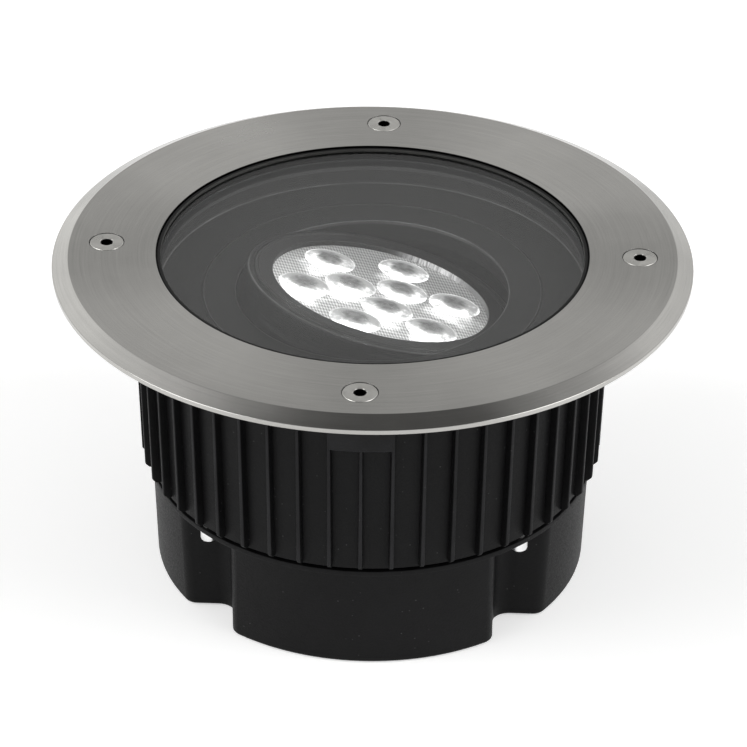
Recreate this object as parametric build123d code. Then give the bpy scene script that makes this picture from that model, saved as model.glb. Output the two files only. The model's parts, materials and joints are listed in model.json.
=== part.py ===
"""In-ground well light: a stainless trim ring clamps a round glass over a finned cast body,
in which an LED head turns and tilts like an eyeball. A lobed housing below holds the wiring.

The light stands on its flat base: z = 0 is the base, +Z is up, the Z axis runs through the ring.
The front is -Y, where one of the four trim screws lies. Millimetres and degrees.
"""

import os
from math import cos, radians, sin, sqrt

from build123d import *

os.makedirs("parts", exist_ok=True)

# ---------------------------------------------------------------- driving dimensions
# clearances between pieces
FIT = 0.1               # rigid pieces that are pressed, screwed or dropped together, per side
RUN = 0.05              # shaft in its bearing hole, per side
TURN_GAP = 0.2          # between the turntable's edge and its recess
HEAD_GAP = 0.4          # between the ball head and its socket

# stack of heights, from the base up
HOUSING_HEIGHT = 37.5   # lobed housing, from its base to the underside of its flange
HOUSING_FLANGE = 2.0
BASE_SEAL = 1.0         # flat gasket between housing and finned body
BODY_HEIGHT = 76.0      # finned body, from its foot to the top of its flange
RING_PLATE = 3.0        # trim ring over the body's flange

# trim ring
RING_OVERHANG = 12.0        # ring beyond the body's flange
RING_GRIP = 2.1             # ring over the edge of the glass
RING_EDGE = 4.5         # height of the outer edge
RING_BEVEL_WIDTH = 5.6
RING_BEVEL_DROP = 2.8
RING_RIM_WALL = 2.4     # thickness of the turned-down edge
RING_LIP = 0.9          # thickness over the glass gasket
TRIM_SCREW_INSET = 13.2     # from the glass recess out to the screws
TRIM_SCREW_COUNT = 4
TRIM_SCREW_R = 2.9      # M6 shank
TRIM_SCREW_HEAD_R = 5.9
TRIM_SCREW_LENGTH = 12.0
TRIM_SCREW_CONE = 3.0   # height of the conical head
HEX_KEY = 4.0           # across flats
SOCKET_DEPTH = 2.2

# glass and what it rests on
GLASS_RADIUS = 76.4
GLASS_THICKNESS = 6.0
GLASS_CHAMFER = 0.5
GASKET_TOP_LIP = 0.6
GASKET_TOP_SHOWS = 1.7      # upper lip seen inside the ring
GASKET_LOW_LIP = 0.9
GASKET_LOW_HOLD = 3.0       # lower lip under the edge of the glass
GASKET_WALL = 1.8
SEAT_RING_WIDTH = 5.3
SEAT_RING_HEIGHT = 4.3

# baffle: a dark pan under the glass, with the turning ring in its middle
BAFFLE_FLANGE = 1.0
BAFFLE_WALL = 0.8
BAFFLE_DEPTH = 5.0          # inside depth, from the flange's underside to the plate
BAFFLE_PLATE = 2.5

# finned body
LEDGE_WIDTH = 3.0           # ledge in the bore that carries the stack under the glass
BODY_WALL = 4.2             # between the fins, at the top
BODY_DRAFT = 1.6            # how much narrower the foot is, per side
FIN_HEIGHT = 2.9
FIN_WIDTH = 1.7
FIN_COUNT = 48
FIN_CHAMFER = 1.4
FIN_FOOT = 0.7              # plain band under the fins
PAD_COUNT = 6
PAD_BOTTOM = 89.0           # height of the pads' lower ends
BODY_FLANGE_MARGIN = 6.4    # flange beyond the circle of the trim screws
BODY_FLANGE = 7.0
COLLAR_HEIGHT = 14.5        # thick collar under the flange, from the body's top
COLLAR_OVERLAP = 1.0        # how far fins and pads run up into the collar
BODY_FLOOR = 4.0
GROMMET_HOLE = 7.0          # radius
GROMMET_X = 22.0
GROMMET_Y = 30.0

# turning ring
TABLE_SEAT = 7.5            # width of the flange that rests on the baffle
TABLE_FLANGE = 1.2
TABLE_AXIAL_GAP = 0.1
TABLE_COLLAR_WALL = 1.8     # outside the socket's largest radius
TABLE_COLLAR = 8.3          # from the top of the flange to the lower end of the collar
TABLE_EDGE_ROUND = 0.7
CLIP_THICKNESS = 1.2
CLIP_GROOVE = 0.8
CLIP_REACH = 2.4            # circlip beyond the collar
CLIP_GAP = 0.3
CLIP_OPENING = 24.0         # width of the circlip's mouth
STOP_PEG_REACH = 4.6        # peg's axis beyond the collar
STOP_PEG_R = 1.5
HALF_TURN = 180.0           # the peg lies opposite the lug at rest
STOP_LUG_WIDTH = 3.0
STOP_LUG_LENGTH = 6.2       # lug beyond the collar
STOP_HEIGHT = 3.0
EAR_THICKNESS = 2.6
EAR_RADIUS = 7.0
EAR_GAP = 0.6               # between the ball and each ear

# head
HEAD_AIM = 121.0            # turned from the front towards +X
HEAD_TILT = 15.0            # as shown; also the largest tilt
PIVOT_DEPTH = 33.4          # tilt axis below the top of the ring
BALL_RADIUS = 48.8
RIM_HEIGHT = 13.2           # front rim of the ball above the tilt axis
RIM_ROUND = 0.5
SHELL_BOTTOM = -10.0        # lower end of the shell, from the tilt axis
RIM_LAND = 1.98             # flat of the rim outside the bezel
BEZEL_SEAT_DEPTH = 3.0
BEZEL_WIDTH = 6.6
BEZEL_PROUD = 0.2
BEZEL_OVER_LENS = 1.9       # from the bezel's face down to the lens
BEZEL_ROUND = 0.4
BEZEL_LEDGE = 2.8           # ledge in the shell that carries the bezel
PLUG_STEP = 0.6             # heat sink's bore over the shell's bore, radius
LENS_HOLD = 1.6             # edge of the lens plate under the bezel
LENS_PLATE = 2.5
COLLIMATOR_R = 9.2
COLLIMATOR_FOOT_R = 4.0
OUTER_LENSES = 6
LENS_MARGIN = 3.6           # between the outer lenses and the plate's edge
OUTER_LENS_START = 12.0
INNER_LENSES = 3
LENS_GAP = 0.48             # between the three inner lenses
INNER_LENS_START = 44.0
HOLDER_WALL = 1.6
BOARD_GAP = 0.6             # between the board and the shell
BOARD_THICKNESS = 1.6
LED_SIZE = 3.5
LED_HEIGHT = 0.8
LED_DOME_R = 1.3
BOARD_TOP = 0.5             # above the tilt axis
BOARD_SCREW_INSET = 7.2     # from the outer LEDs inwards to the screws
BOARD_SCREW_COUNT = 3
BOARD_SCREW_START = 102.0
BOARD_SCREW_R = 1.25
BOARD_SCREW_HEAD_R = 2.3
BOARD_SCREW_HEAD = 1.4
BOARD_SCREW_LENGTH = 5.0
SINK_FLANGE = 3.0
SINK_FLANGE_WIDTH = 4.1     # outside the plug
SINK_FIN_DEPTH = 14.0
SINK_FIN_INSET = 4.8        # fins inside the plug's radius
SINK_FIN_COUNT = 9
SINK_FIN_THICKNESS = 2.2
SINK_FIN_PITCH = 7.6
SINK_SCREW_COUNT = 4
SINK_SCREW_R = 1.2
SINK_SCREW_HEAD_R = 1.9
SINK_SCREW_HEAD = 1.6
SINK_SCREW_LENGTH = 7.0
PIVOT_SHOULDER_R = 3.0
PIVOT_THREAD_R = 2.0
PIVOT_THREAD = 4.2
PIVOT_HEAD_R = 4.5
PIVOT_HEAD = 2.6
WASHER_R = 5.5
WASHER_THICKNESS = 0.8

# lobed housing
LOBE_INSET = 2.4            # top of the lobes inside the body between its fins
LOBE_DRAFT = 1.2            # how much narrower the base is, per side
NOTCH_COUNT = 4
NOTCH_START = 45.0
NOTCH_DEPTH = 32.2          # from the round face of a lobe in to the wall of the next notch
NOTCH_INNER_ROUND = 6.0
LOBE_ROUND = 5.0
HOUSING_WALL = 3.0
HOUSING_FLOOR = 3.0
HOUSING_FLANGE_WIDTH = 1.1  # beyond the lobes
HOUSING_MOUTH_MARGIN = 4.6  # mouth inside the notches' corners
HOUSING_EDGE_ROUND = 1.2
BASE_SEAL_START = 2.5       # seal outside the mouth
BASE_SEAL_WIDTH = 7.6
BASE_SCREW_INSET = 1.9      # screws inside the top of the lobes
BASE_SCREW_R = 1.9
BASE_SCREW_HEAD_R = 2.85
BASE_SCREW_HEAD = 3.6
BASE_SCREW_LENGTH = 14.0
BASE_KEY = 2.5
BASE_BOSS_R = 4.5
BASE_BOSS_HEIGHT = 12.0

# wiring in the lobed housing
DRIVER_LENGTH = 82.0
DRIVER_WIDTH = 42.0
DRIVER_HEIGHT = 22.0
DRIVER_Y = -20.0
DRIVER_ROUND = 2.0
DRIVER_EAR = 8.0
DRIVER_EAR_THICKNESS = 2.5
SMALL_SCREW_R = 1.4
SMALL_SCREW_HEAD_R = 2.7
SMALL_SCREW_HEAD = 1.8
SMALL_SCREW_DEPTH = 2.0     # into the housing's floor
BLOCK_POLES = 3
BLOCK_PITCH = 9.0
BLOCK_WIDTH = 18.0
BLOCK_HEIGHT = 14.0
BLOCK_Y = 35.0
BLOCK_WIRE_R = 1.8
BLOCK_ROUND = 1.0
BLOCK_EAR = 7.0
BLOCK_EAR_THICKNESS = 3.0
GROMMET_WALL = 1.6
GROMMET_LIP = 2.0
GROMMET_LIP_T = 1.5
GROMMET_BORE = 2.5

# cable gland at the back
GLAND_HEIGHT = 17.0
GLAND_BOSS_R = 13.0
GLAND_BOSS_PROUD = 0.0      # boss beyond the top of the lobes
GLAND_BOSS_INSIDE = 6.6
GLAND_THREAD_R = 8.0
GLAND_NUT_FLATS = 20.0
GLAND_HEX = 5.0
GLAND_NECK = 8.0
GLAND_NECK_R = 8.6
GLAND_BORE_R = 5.6
GLAND_SEAL_BORE = 3.8
GLAND_SEAL_LENGTH = 10.0
LOCKNUT_THICKNESS = 4.5
CAP_RADIUS = 10.6
CAP_LENGTH = 13.0
CAP_MOUTH_R = 4.6
CAP_GAP = 1.0               # between the hexagon and the cap

# ---------------------------------------------------------------- derived places
flange_bottom = HOUSING_HEIGHT
flange_top = flange_bottom + HOUSING_FLANGE
body_foot = flange_top + BASE_SEAL
body_top = body_foot + BODY_HEIGHT
ring_top = body_top + RING_PLATE
ring_opening = GLASS_RADIUS - RING_GRIP
recess_radius = GLASS_RADIUS + FIT + GASKET_WALL + FIT
gasket_top_reach = ring_opening - GASKET_TOP_SHOWS
gasket_low_reach = GLASS_RADIUS - GASKET_LOW_HOLD
seat_ring_opening = recess_radius - FIT - SEAT_RING_WIDTH
trim_screw_circle = recess_radius + TRIM_SCREW_INSET
body_flange_radius = trim_screw_circle + BODY_FLANGE_MARGIN
ring_radius = body_flange_radius + RING_OVERHANG
bore_radius = recess_radius - LEDGE_WIDTH
body_root = bore_radius + BODY_WALL
lobe_top_r = body_root - LOBE_INSET
lobe_half = lobe_top_r - NOTCH_DEPTH
notch_corner_r = sqrt(2) * lobe_half + (sqrt(2) - 1) * NOTCH_INNER_ROUND
housing_flange_r = lobe_top_r + HOUSING_FLANGE_WIDTH
housing_mouth_r = notch_corner_r - HOUSING_MOUTH_MARGIN
base_seal_inner = housing_mouth_r + BASE_SEAL_START
base_seal_outer = base_seal_inner + BASE_SEAL_WIDTH
base_screw_circle = lobe_top_r - BASE_SCREW_INSET
gland_face_y = lobe_top_r + GLAND_BOSS_PROUD
gasket_top = ring_top - RING_LIP
glass_top = gasket_top - GASKET_TOP_LIP
glass_bottom = glass_top - GLASS_THICKNESS
gasket_bottom = glass_bottom - GASKET_LOW_LIP
seat_bottom = gasket_bottom - SEAT_RING_HEIGHT
ledge = seat_bottom - BAFFLE_FLANGE
plate_top = ledge - BAFFLE_DEPTH
plate_bottom = plate_top - BAFFLE_PLATE
pivot_z = ring_top - PIVOT_DEPTH
socket_radius = BALL_RADIUS + HEAD_GAP
table_collar_r = socket_radius + TABLE_COLLAR_WALL
table_radius = table_collar_r + TABLE_SEAT
clip_radius = table_collar_r + CLIP_REACH
stop_circle = table_collar_r + STOP_PEG_REACH
stop_lug_reach = table_collar_r + STOP_LUG_LENGTH
clip_top = plate_bottom - CLIP_GAP
collar_end = plate_top - TABLE_COLLAR
ear_inner = BALL_RADIUS + EAR_GAP
ear_outer = ear_inner + EAR_THICKNESS
rim_radius = sqrt(BALL_RADIUS**2 - RIM_HEIGHT**2)
bezel_seat_r = rim_radius - RIM_LAND
bezel_opening = bezel_seat_r - BEZEL_WIDTH
shell_bore = bezel_seat_r - BEZEL_LEDGE
plug_bore = shell_bore + PLUG_STEP
lens_radius = bezel_opening + LENS_HOLD
outer_lens_circle = lens_radius - COLLIMATOR_R - LENS_MARGIN
inner_lens_circle = (COLLIMATOR_R + LENS_GAP / 2) / sin(radians(180 / INNER_LENSES))
board_radius = shell_bore - BOARD_GAP
board_screw_circle = outer_lens_circle - BOARD_SCREW_INSET
sink_flange_r = plug_bore + SINK_FLANGE_WIDTH
sink_fin_r = plug_bore - SINK_FIN_INSET
sink_screw_circle = (plug_bore + sink_flange_r) / 2
bezel_face = RIM_HEIGHT + BEZEL_PROUD
lens_top = bezel_face - BEZEL_OVER_LENS
lens_bottom = lens_top - LENS_PLATE
sink_top = BOARD_TOP - BOARD_THICKNESS
bezel_floor = RIM_HEIGHT - BEZEL_SEAT_DEPTH
floor_top = body_foot + BODY_FLOOR

TURNED = Pos(0, 0, pivot_z) * Rot(0, 0, HEAD_AIM)
TILTED = TURNED * Rot(HEAD_TILT, 0, 0)


# ---------------------------------------------------------------- helpers
def turned_profile(points):
    """Solid of revolution about Z of a closed outline of (radius, height) points."""
    outline = Plane.XZ * Polyline(*points, close=True)
    return revolve(make_face(outline), Axis.Z)


def tube(outer, inner, low, high):
    """Ring between two radii and two heights."""
    return turned_profile([(inner, low), (outer, low), (outer, high), (inner, high)])


def post(radius, low, high, x=0.0, y=0.0):
    """Upright cylinder between two heights."""
    return Pos(x, y, low) * Cylinder(radius, high - low, align=(Align.CENTER, Align.CENTER, Align.MIN))


def around(count, radius, start=0.0):
    """Places on a circle, counted from the front (-Y) towards +X, each with its X axis outwards."""
    step = 360.0 / count
    return [Rot(0, 0, start + i * step - 90) * Pos(radius, 0, 0) for i in range(count)]


def hexagon(flats, low, high):
    """Upright hexagonal prism."""
    outline = Pos(0, 0, low) * RegularPolygon(flats / 2, 6, major_radius=False)
    return extrude(outline, high - low)


def group(solids):
    """Separate solids that share one node."""
    return Compound(children=list(solids))


def save(shape, name, place=None):
    """Writes one node, moved to its place."""
    if place is not None:
        shape = place * shape
    export_step(shape, f"parts/{name}.step")


# ---------------------------------------------------------------- trim ring and screws
def trim_ring():
    bevel_start = ring_radius - RING_BEVEL_WIDTH
    under = ring_top - RING_PLATE
    edge = ring_top - RING_EDGE
    ring = turned_profile(
        [
            (ring_opening, gasket_top),
            (ring_opening, ring_top),
            (bevel_start, ring_top),
            (ring_radius, ring_top - RING_BEVEL_DROP),
            (ring_radius, edge),
            (ring_radius - RING_RIM_WALL, edge),
            (ring_radius - RING_RIM_WALL - (RING_EDGE - RING_PLATE), under),
            (recess_radius, under),
            (recess_radius, gasket_top),
        ]
    )
    for place in around(TRIM_SCREW_COUNT, trim_screw_circle):
        hole = post(TRIM_SCREW_R + FIT, under - 1, ring_top + 1)
        cone = Pos(0, 0, ring_top - TRIM_SCREW_CONE) * Cone(
            TRIM_SCREW_R + FIT,
            TRIM_SCREW_HEAD_R + FIT,
            TRIM_SCREW_CONE,
            align=(Align.CENTER, Align.CENTER, Align.MIN),
        )
        ring -= place * (hole + cone)
    return ring


def trim_screws():
    screws = []
    for place in around(TRIM_SCREW_COUNT, trim_screw_circle):
        screw = turned_profile(
            [
                (0, ring_top - TRIM_SCREW_LENGTH),
                (TRIM_SCREW_R, ring_top - TRIM_SCREW_LENGTH),
                (TRIM_SCREW_R, ring_top - TRIM_SCREW_CONE),
                (TRIM_SCREW_HEAD_R, ring_top),
                (0, ring_top),
            ]
        )
        screw -= hexagon(HEX_KEY, ring_top - SOCKET_DEPTH, ring_top + 1)
        screws.append(place * screw)
    return group(screws)


# ---------------------------------------------------------------- glass, gasket, seat ring
def cover_glass():
    glass = post(GLASS_RADIUS, glass_bottom, glass_top)
    return chamfer(glass.edges().filter_by(GeomType.CIRCLE), GLASS_CHAMFER)


def glass_gasket():
    edge = GLASS_RADIUS + FIT
    outer = edge + GASKET_WALL
    return turned_profile(
        [
            (gasket_top_reach, glass_top),
            (gasket_top_reach, gasket_top),
            (outer, gasket_top),
            (outer, gasket_bottom),
            (gasket_low_reach, gasket_bottom),
            (gasket_low_reach, glass_bottom),
            (edge, glass_bottom),
            (edge, glass_top),
        ]
    )


def glass_seat_ring():
    return tube(recess_radius - FIT, seat_ring_opening, seat_bottom, gasket_bottom)


# ---------------------------------------------------------------- baffle
def baffle():
    wall_outer = bore_radius - FIT
    wall_inner = wall_outer - BAFFLE_WALL
    recess_floor = plate_top - TABLE_FLANGE - TABLE_AXIAL_GAP
    pan = turned_profile(
        [
            (wall_inner, seat_bottom),
            (recess_radius - FIT, seat_bottom),
            (recess_radius - FIT, ledge),
            (wall_outer, ledge),
            (wall_outer, plate_bottom),
            (table_collar_r + RUN, plate_bottom),
            (table_collar_r + RUN, recess_floor),
            (table_radius + TURN_GAP, recess_floor),
            (table_radius + TURN_GAP, plate_top),
            (wall_inner, plate_top),
        ]
    )
    peg = around(1, stop_circle, HEAD_AIM + HALF_TURN)[0] * post(
        STOP_PEG_R, clip_top - CLIP_THICKNESS - STOP_HEIGHT, plate_bottom
    )
    return pan + peg


# ---------------------------------------------------------------- finned body
def fin_band(foot):
    """Solid ring as high as the fins, from a height up into the collar, drafted and chamfered."""
    top = body_top - COLLAR_HEIGHT + COLLAR_OVERLAP
    draft = BODY_DRAFT * (top - foot) / BODY_HEIGHT
    tip = body_root + FIN_HEIGHT
    inside = (bore_radius + body_root - BODY_DRAFT) / 2
    return turned_profile(
        [
            (inside, foot),
            (tip - FIN_CHAMFER - draft, foot),
            (tip - draft, foot + FIN_CHAMFER),
            (tip, top),
            (inside, top),
        ]
    )


def finned_body():
    tip = body_root + FIN_HEIGHT
    wall = turned_profile(
        [
            (0, body_foot),
            (body_root - BODY_DRAFT, body_foot),
            (body_root, body_top - COLLAR_HEIGHT - FIN_HEIGHT),
            (tip, body_top - COLLAR_HEIGHT),
            (tip, body_top - BODY_FLANGE),
            (body_flange_radius, body_top - BODY_FLANGE),
            (body_flange_radius, body_top),
            (recess_radius, body_top),
            (recess_radius, ledge),
            (bore_radius, ledge),
            (bore_radius, floor_top),
            (0, floor_top),
        ]
    )
    fin_foot = body_foot + FIN_FOOT
    height = body_top - fin_foot
    blade = Pos(0, 0, fin_foot) * Box(
        4 * FIN_HEIGHT, FIN_WIDTH, height, align=(Align.CENTER, Align.CENTER, Align.MIN)
    )
    blades = [place * blade for place in around(FIN_COUNT, body_root)]
    fins = fin_band(fin_foot) & Compound(children=blades)
    body = wall + fins

    # pads that fill the two gaps between three neighbouring fins
    half = 360.0 / FIN_COUNT
    reach = body_root + 3 * FIN_HEIGHT
    corner = reach * sin(radians(half))
    along = reach * cos(radians(half))
    wedge = make_face(Polyline((0, 0), (along, -corner), (along, corner), close=True))
    sector = Pos(0, 0, PAD_BOTTOM) * extrude(wedge, body_top - PAD_BOTTOM)
    places = around(PAD_COUNT, 0)
    pads = fin_band(PAD_BOTTOM) & Compound(children=[place * sector for place in places])
    body += pads

    for place in around(NOTCH_COUNT, base_screw_circle, NOTCH_START):
        boss = place * post(BASE_BOSS_R, body_foot, floor_top + BASE_BOSS_HEIGHT)
        body += boss & post(body_root - BODY_DRAFT, body_foot, body_top)
        top = flange_bottom + BASE_SCREW_LENGTH
        body -= place * post(BASE_SCREW_R + FIT, body_foot - 1, top + 1)
    for place in around(TRIM_SCREW_COUNT, trim_screw_circle):
        body -= place * post(TRIM_SCREW_R + FIT, body_top - BODY_FLANGE - 1, body_top + 1)
    body -= post(GROMMET_HOLE, body_foot - 1, floor_top + 1, GROMMET_X, GROMMET_Y)
    return body


# ---------------------------------------------------------------- turning ring
def turntable():
    low = collar_end - pivot_z
    high = plate_top - pivot_z
    flange_low = high - TABLE_FLANGE
    lip = sqrt(socket_radius**2 - high**2)
    ring = turned_profile(
        [
            (lip - 2, low),
            (table_collar_r, low),
            (table_collar_r, flange_low),
            (table_radius, flange_low),
            (table_radius, high),
            (lip - 2, high),
        ]
    )
    ears = []
    for side in (-1, 1):
        plate = Pos(side * (ear_inner + EAR_THICKNESS / 2), 0, 0) * Rot(0, 90, 0) * Cylinder(
            EAR_RADIUS, EAR_THICKNESS
        )
        neck = Pos(side * (ear_inner + EAR_THICKNESS / 2), 0, 0) * Box(
            EAR_THICKNESS, 2 * EAR_RADIUS, low + 1, align=(Align.CENTER, Align.CENTER, Align.MIN)
        )
        ears.append(plate + neck)
    lug = Pos(0, -(table_collar_r + stop_lug_reach) / 2, clip_top - CLIP_THICKNESS - CLIP_GAP - pivot_z) * Box(
        STOP_LUG_WIDTH,
        stop_lug_reach - table_collar_r + 1,
        STOP_HEIGHT - 1,
        align=(Align.CENTER, Align.CENTER, Align.MAX),
    )
    ring = ring + ears[0] + ears[1] + lug
    ring -= Sphere(socket_radius)
    groove_low = clip_top - CLIP_THICKNESS - FIT - pivot_z
    ring -= tube(clip_radius, table_collar_r - CLIP_GROOVE, groove_low, clip_top + FIT - pivot_z)
    mouth = ring.edges().filter_by(GeomType.CIRCLE).filter_by(
        lambda e: abs(e.center().Z - high) < 0.01 and abs(e.radius - lip) < 0.01
    )
    ring = fillet(mouth, TABLE_EDGE_ROUND)
    hole = Rot(0, 90, 0) * Cylinder(PIVOT_SHOULDER_R + RUN, 3 * ear_outer)
    return ring - hole


def turntable_circlip():
    inner = table_collar_r - CLIP_GROOVE + FIT
    low = clip_top - CLIP_THICKNESS - pivot_z
    clip = tube(clip_radius, inner, low, clip_top - pivot_z)
    mouth = Pos(0, 0, low - 1) * Box(
        CLIP_OPENING, 2 * clip_radius, CLIP_THICKNESS + 2, align=(Align.CENTER, Align.MAX, Align.MIN)
    )
    return clip - mouth


# ---------------------------------------------------------------- head, level and centred on its tilt axis
def head_shell():
    foot = sqrt(BALL_RADIUS**2 - SHELL_BOTTOM**2)
    outer = ThreePointArc((foot, SHELL_BOTTOM), (BALL_RADIUS, 0), (rim_radius, RIM_HEIGHT))
    inside = Polyline(
        (rim_radius, RIM_HEIGHT),
        (bezel_seat_r, RIM_HEIGHT),
        (bezel_seat_r, bezel_floor),
        (shell_bore, bezel_floor),
        (shell_bore, sink_top),
        (plug_bore, sink_top),
        (plug_bore, SHELL_BOTTOM),
        (foot, SHELL_BOTTOM),
    )
    shell = revolve(make_face(Plane.XZ * (outer + inside)), Axis.Z)
    rim = shell.edges().filter_by(GeomType.CIRCLE).filter_by(
        lambda e: abs(e.center().Z - RIM_HEIGHT) < 0.01 and abs(e.radius - rim_radius) < 0.01
    )
    shell = fillet(rim, RIM_ROUND)
    for side in (-1, 1):
        reach = BALL_RADIUS - PIVOT_THREAD - FIT
        hole = Rot(0, 90 * side, 0) * post(PIVOT_THREAD_R + FIT, reach, BALL_RADIUS + PIVOT_THREAD)
        shell -= hole
    for place in around(SINK_SCREW_COUNT, sink_screw_circle, 45):
        top = SHELL_BOTTOM - SINK_FLANGE + SINK_SCREW_LENGTH + FIT
        shell -= place * post(SINK_SCREW_R + FIT, SHELL_BOTTOM - 1, top)
    return shell


def head_bezel():
    ring = turned_profile(
        [
            (bezel_opening, lens_top),
            (bezel_opening, bezel_face),
            (bezel_seat_r - FIT, bezel_face),
            (bezel_seat_r - FIT, bezel_floor),
            (lens_radius + FIT, bezel_floor),
            (lens_radius + FIT, lens_top),
        ]
    )
    edges = ring.edges().filter_by(GeomType.CIRCLE).filter_by(lambda e: abs(e.center().Z - bezel_face) < 0.01)
    return fillet(edges, BEZEL_ROUND)


def lens_places():
    """Centres of the nine lenses: six round three."""
    outer = [(outer_lens_circle, OUTER_LENS_START + i * 360 / OUTER_LENSES) for i in range(OUTER_LENSES)]
    inner = [(inner_lens_circle, INNER_LENS_START + i * 360 / INNER_LENSES) for i in range(INNER_LENSES)]
    return [(r * cos(radians(a)), r * sin(radians(a))) for r, a in outer + inner]


def lens_plate():
    plate = post(lens_radius, lens_bottom, lens_top)
    foot = BOARD_TOP + LED_HEIGHT + LED_DOME_R + FIT
    for x, y in lens_places():
        cone = Pos(x, y, foot) * Cone(
            COLLIMATOR_FOOT_R, COLLIMATOR_R, lens_bottom - foot, align=(Align.CENTER, Align.CENTER, Align.MIN)
        )
        plate += cone
    return plate


def lens_holder():
    outer = shell_bore - FIT
    return tube(outer, outer - HOLDER_WALL, BOARD_TOP, lens_bottom) + tube(
        outer, lens_radius + FIT, lens_bottom, bezel_floor
    )


def board_screw_places():
    return around(BOARD_SCREW_COUNT, board_screw_circle, BOARD_SCREW_START)


def led_board():
    board = post(board_radius, sink_top, BOARD_TOP)
    for place in board_screw_places():
        board -= place * post(BOARD_SCREW_R + FIT, sink_top - 1, BOARD_TOP + 1)
    return board


def leds():
    chips = []
    for x, y in lens_places():
        base = Pos(x, y, BOARD_TOP) * Box(
            LED_SIZE, LED_SIZE, LED_HEIGHT, align=(Align.CENTER, Align.CENTER, Align.MIN)
        )
        dome = Pos(x, y, BOARD_TOP + LED_HEIGHT) * Sphere(
            LED_DOME_R, arc_size1=0, align=(Align.CENTER, Align.CENTER, Align.NONE)
        )
        chips.append(base + dome)
    return group(chips)


def board_screws():
    screws = []
    for place in board_screw_places():
        head = post(BOARD_SCREW_HEAD_R, BOARD_TOP, BOARD_TOP + BOARD_SCREW_HEAD)
        shank = post(BOARD_SCREW_R, BOARD_TOP - BOARD_SCREW_LENGTH, BOARD_TOP)
        screws.append(place * (head + shank))
    return group(screws)


def heat_sink():
    flange_low = SHELL_BOTTOM - SINK_FLANGE
    sink = post(plug_bore - FIT, flange_low, sink_top) + post(sink_flange_r, flange_low, SHELL_BOTTOM)
    low = flange_low - SINK_FIN_DEPTH
    first = -(SINK_FIN_COUNT - 1) / 2
    blades = [
        Pos((first + i) * SINK_FIN_PITCH, 0, low)
        * Box(SINK_FIN_THICKNESS, 2 * sink_fin_r, SINK_FIN_DEPTH, align=(Align.CENTER, Align.CENTER, Align.MIN))
        for i in range(SINK_FIN_COUNT)
    ]
    sink += Compound(children=blades) & post(sink_fin_r, low, flange_low)
    for place in around(SINK_SCREW_COUNT, sink_screw_circle, 45):
        sink -= place * post(SINK_SCREW_R + FIT, flange_low - 1, SHELL_BOTTOM + 1)
    for place in board_screw_places():
        sink -= place * post(BOARD_SCREW_R + FIT, BOARD_TOP - BOARD_SCREW_LENGTH - 1, sink_top + 1)
    return sink


def heat_sink_screws():
    under = SHELL_BOTTOM - SINK_FLANGE
    screws = []
    for place in around(SINK_SCREW_COUNT, sink_screw_circle, 45):
        head = post(SINK_SCREW_HEAD_R, under - SINK_SCREW_HEAD, under)
        shank = post(SINK_SCREW_R, under, under + SINK_SCREW_LENGTH)
        screws.append(place * (head + shank))
    return group(screws)


def pivot_screws():
    shoulder_end = ear_outer + RUN + WASHER_THICKNESS
    screws = []
    for turn in (0, 180):
        thread = post(PIVOT_THREAD_R, BALL_RADIUS - PIVOT_THREAD, BALL_RADIUS)
        shoulder = post(PIVOT_SHOULDER_R, BALL_RADIUS, shoulder_end)
        head = post(PIVOT_HEAD_R, shoulder_end, shoulder_end + PIVOT_HEAD)
        socket = hexagon(HEX_KEY, shoulder_end + PIVOT_HEAD / 2, shoulder_end + PIVOT_HEAD + 1)
        screws.append(Rot(0, 0, turn) * Rot(0, 90, 0) * (thread + shoulder + head - socket))
    return group(screws)


def friction_washers():
    low = ear_outer + RUN
    washer = tube(WASHER_R, PIVOT_SHOULDER_R + RUN, low, low + WASHER_THICKNESS)
    return group([Rot(0, 0, turn) * Rot(0, 90, 0) * washer for turn in (0, 180)])


# ---------------------------------------------------------------- lobed housing
def lobed_block(inset, low):
    """Drafted round block with a square notch in each quarter, moved in by a wall."""
    top_r = lobe_top_r - inset
    low_r = top_r - LOBE_DRAFT * (flange_bottom - low) / HOUSING_HEIGHT
    half = lobe_half - inset
    block = turned_profile([(0, low), (low_r, low), (top_r, flange_bottom), (0, flange_bottom)])
    notch = Box(top_r, top_r, HOUSING_HEIGHT + 2, align=(Align.MIN, Align.MIN, Align.MIN))
    for i in range(NOTCH_COUNT):
        block -= Rot(0, 0, i * 360 / NOTCH_COUNT) * Pos(half, half, low - 1) * notch
    corners = block.edges().filter_by(lambda e: abs(e.tangent_at(0.5).Z) > 0.5)
    middle = (low_r + sqrt(2) * half) / 2
    outer = corners.filter_by(lambda e: Vector(e.center().X, e.center().Y, 0).length > middle)
    inner = corners.filter_by(lambda e: Vector(e.center().X, e.center().Y, 0).length < middle)
    block = fillet(inner, NOTCH_INNER_ROUND + inset)
    corners = block.edges().filter_by(lambda e: abs(e.tangent_at(0.5).Z) > 0.5)
    far = Vector(outer[0].center().X, outer[0].center().Y, 0).length - 0.5
    outer = corners.filter_by(lambda e: Vector(e.center().X, e.center().Y, 0).length > far)
    return fillet(outer, LOBE_ROUND - inset)


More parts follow.
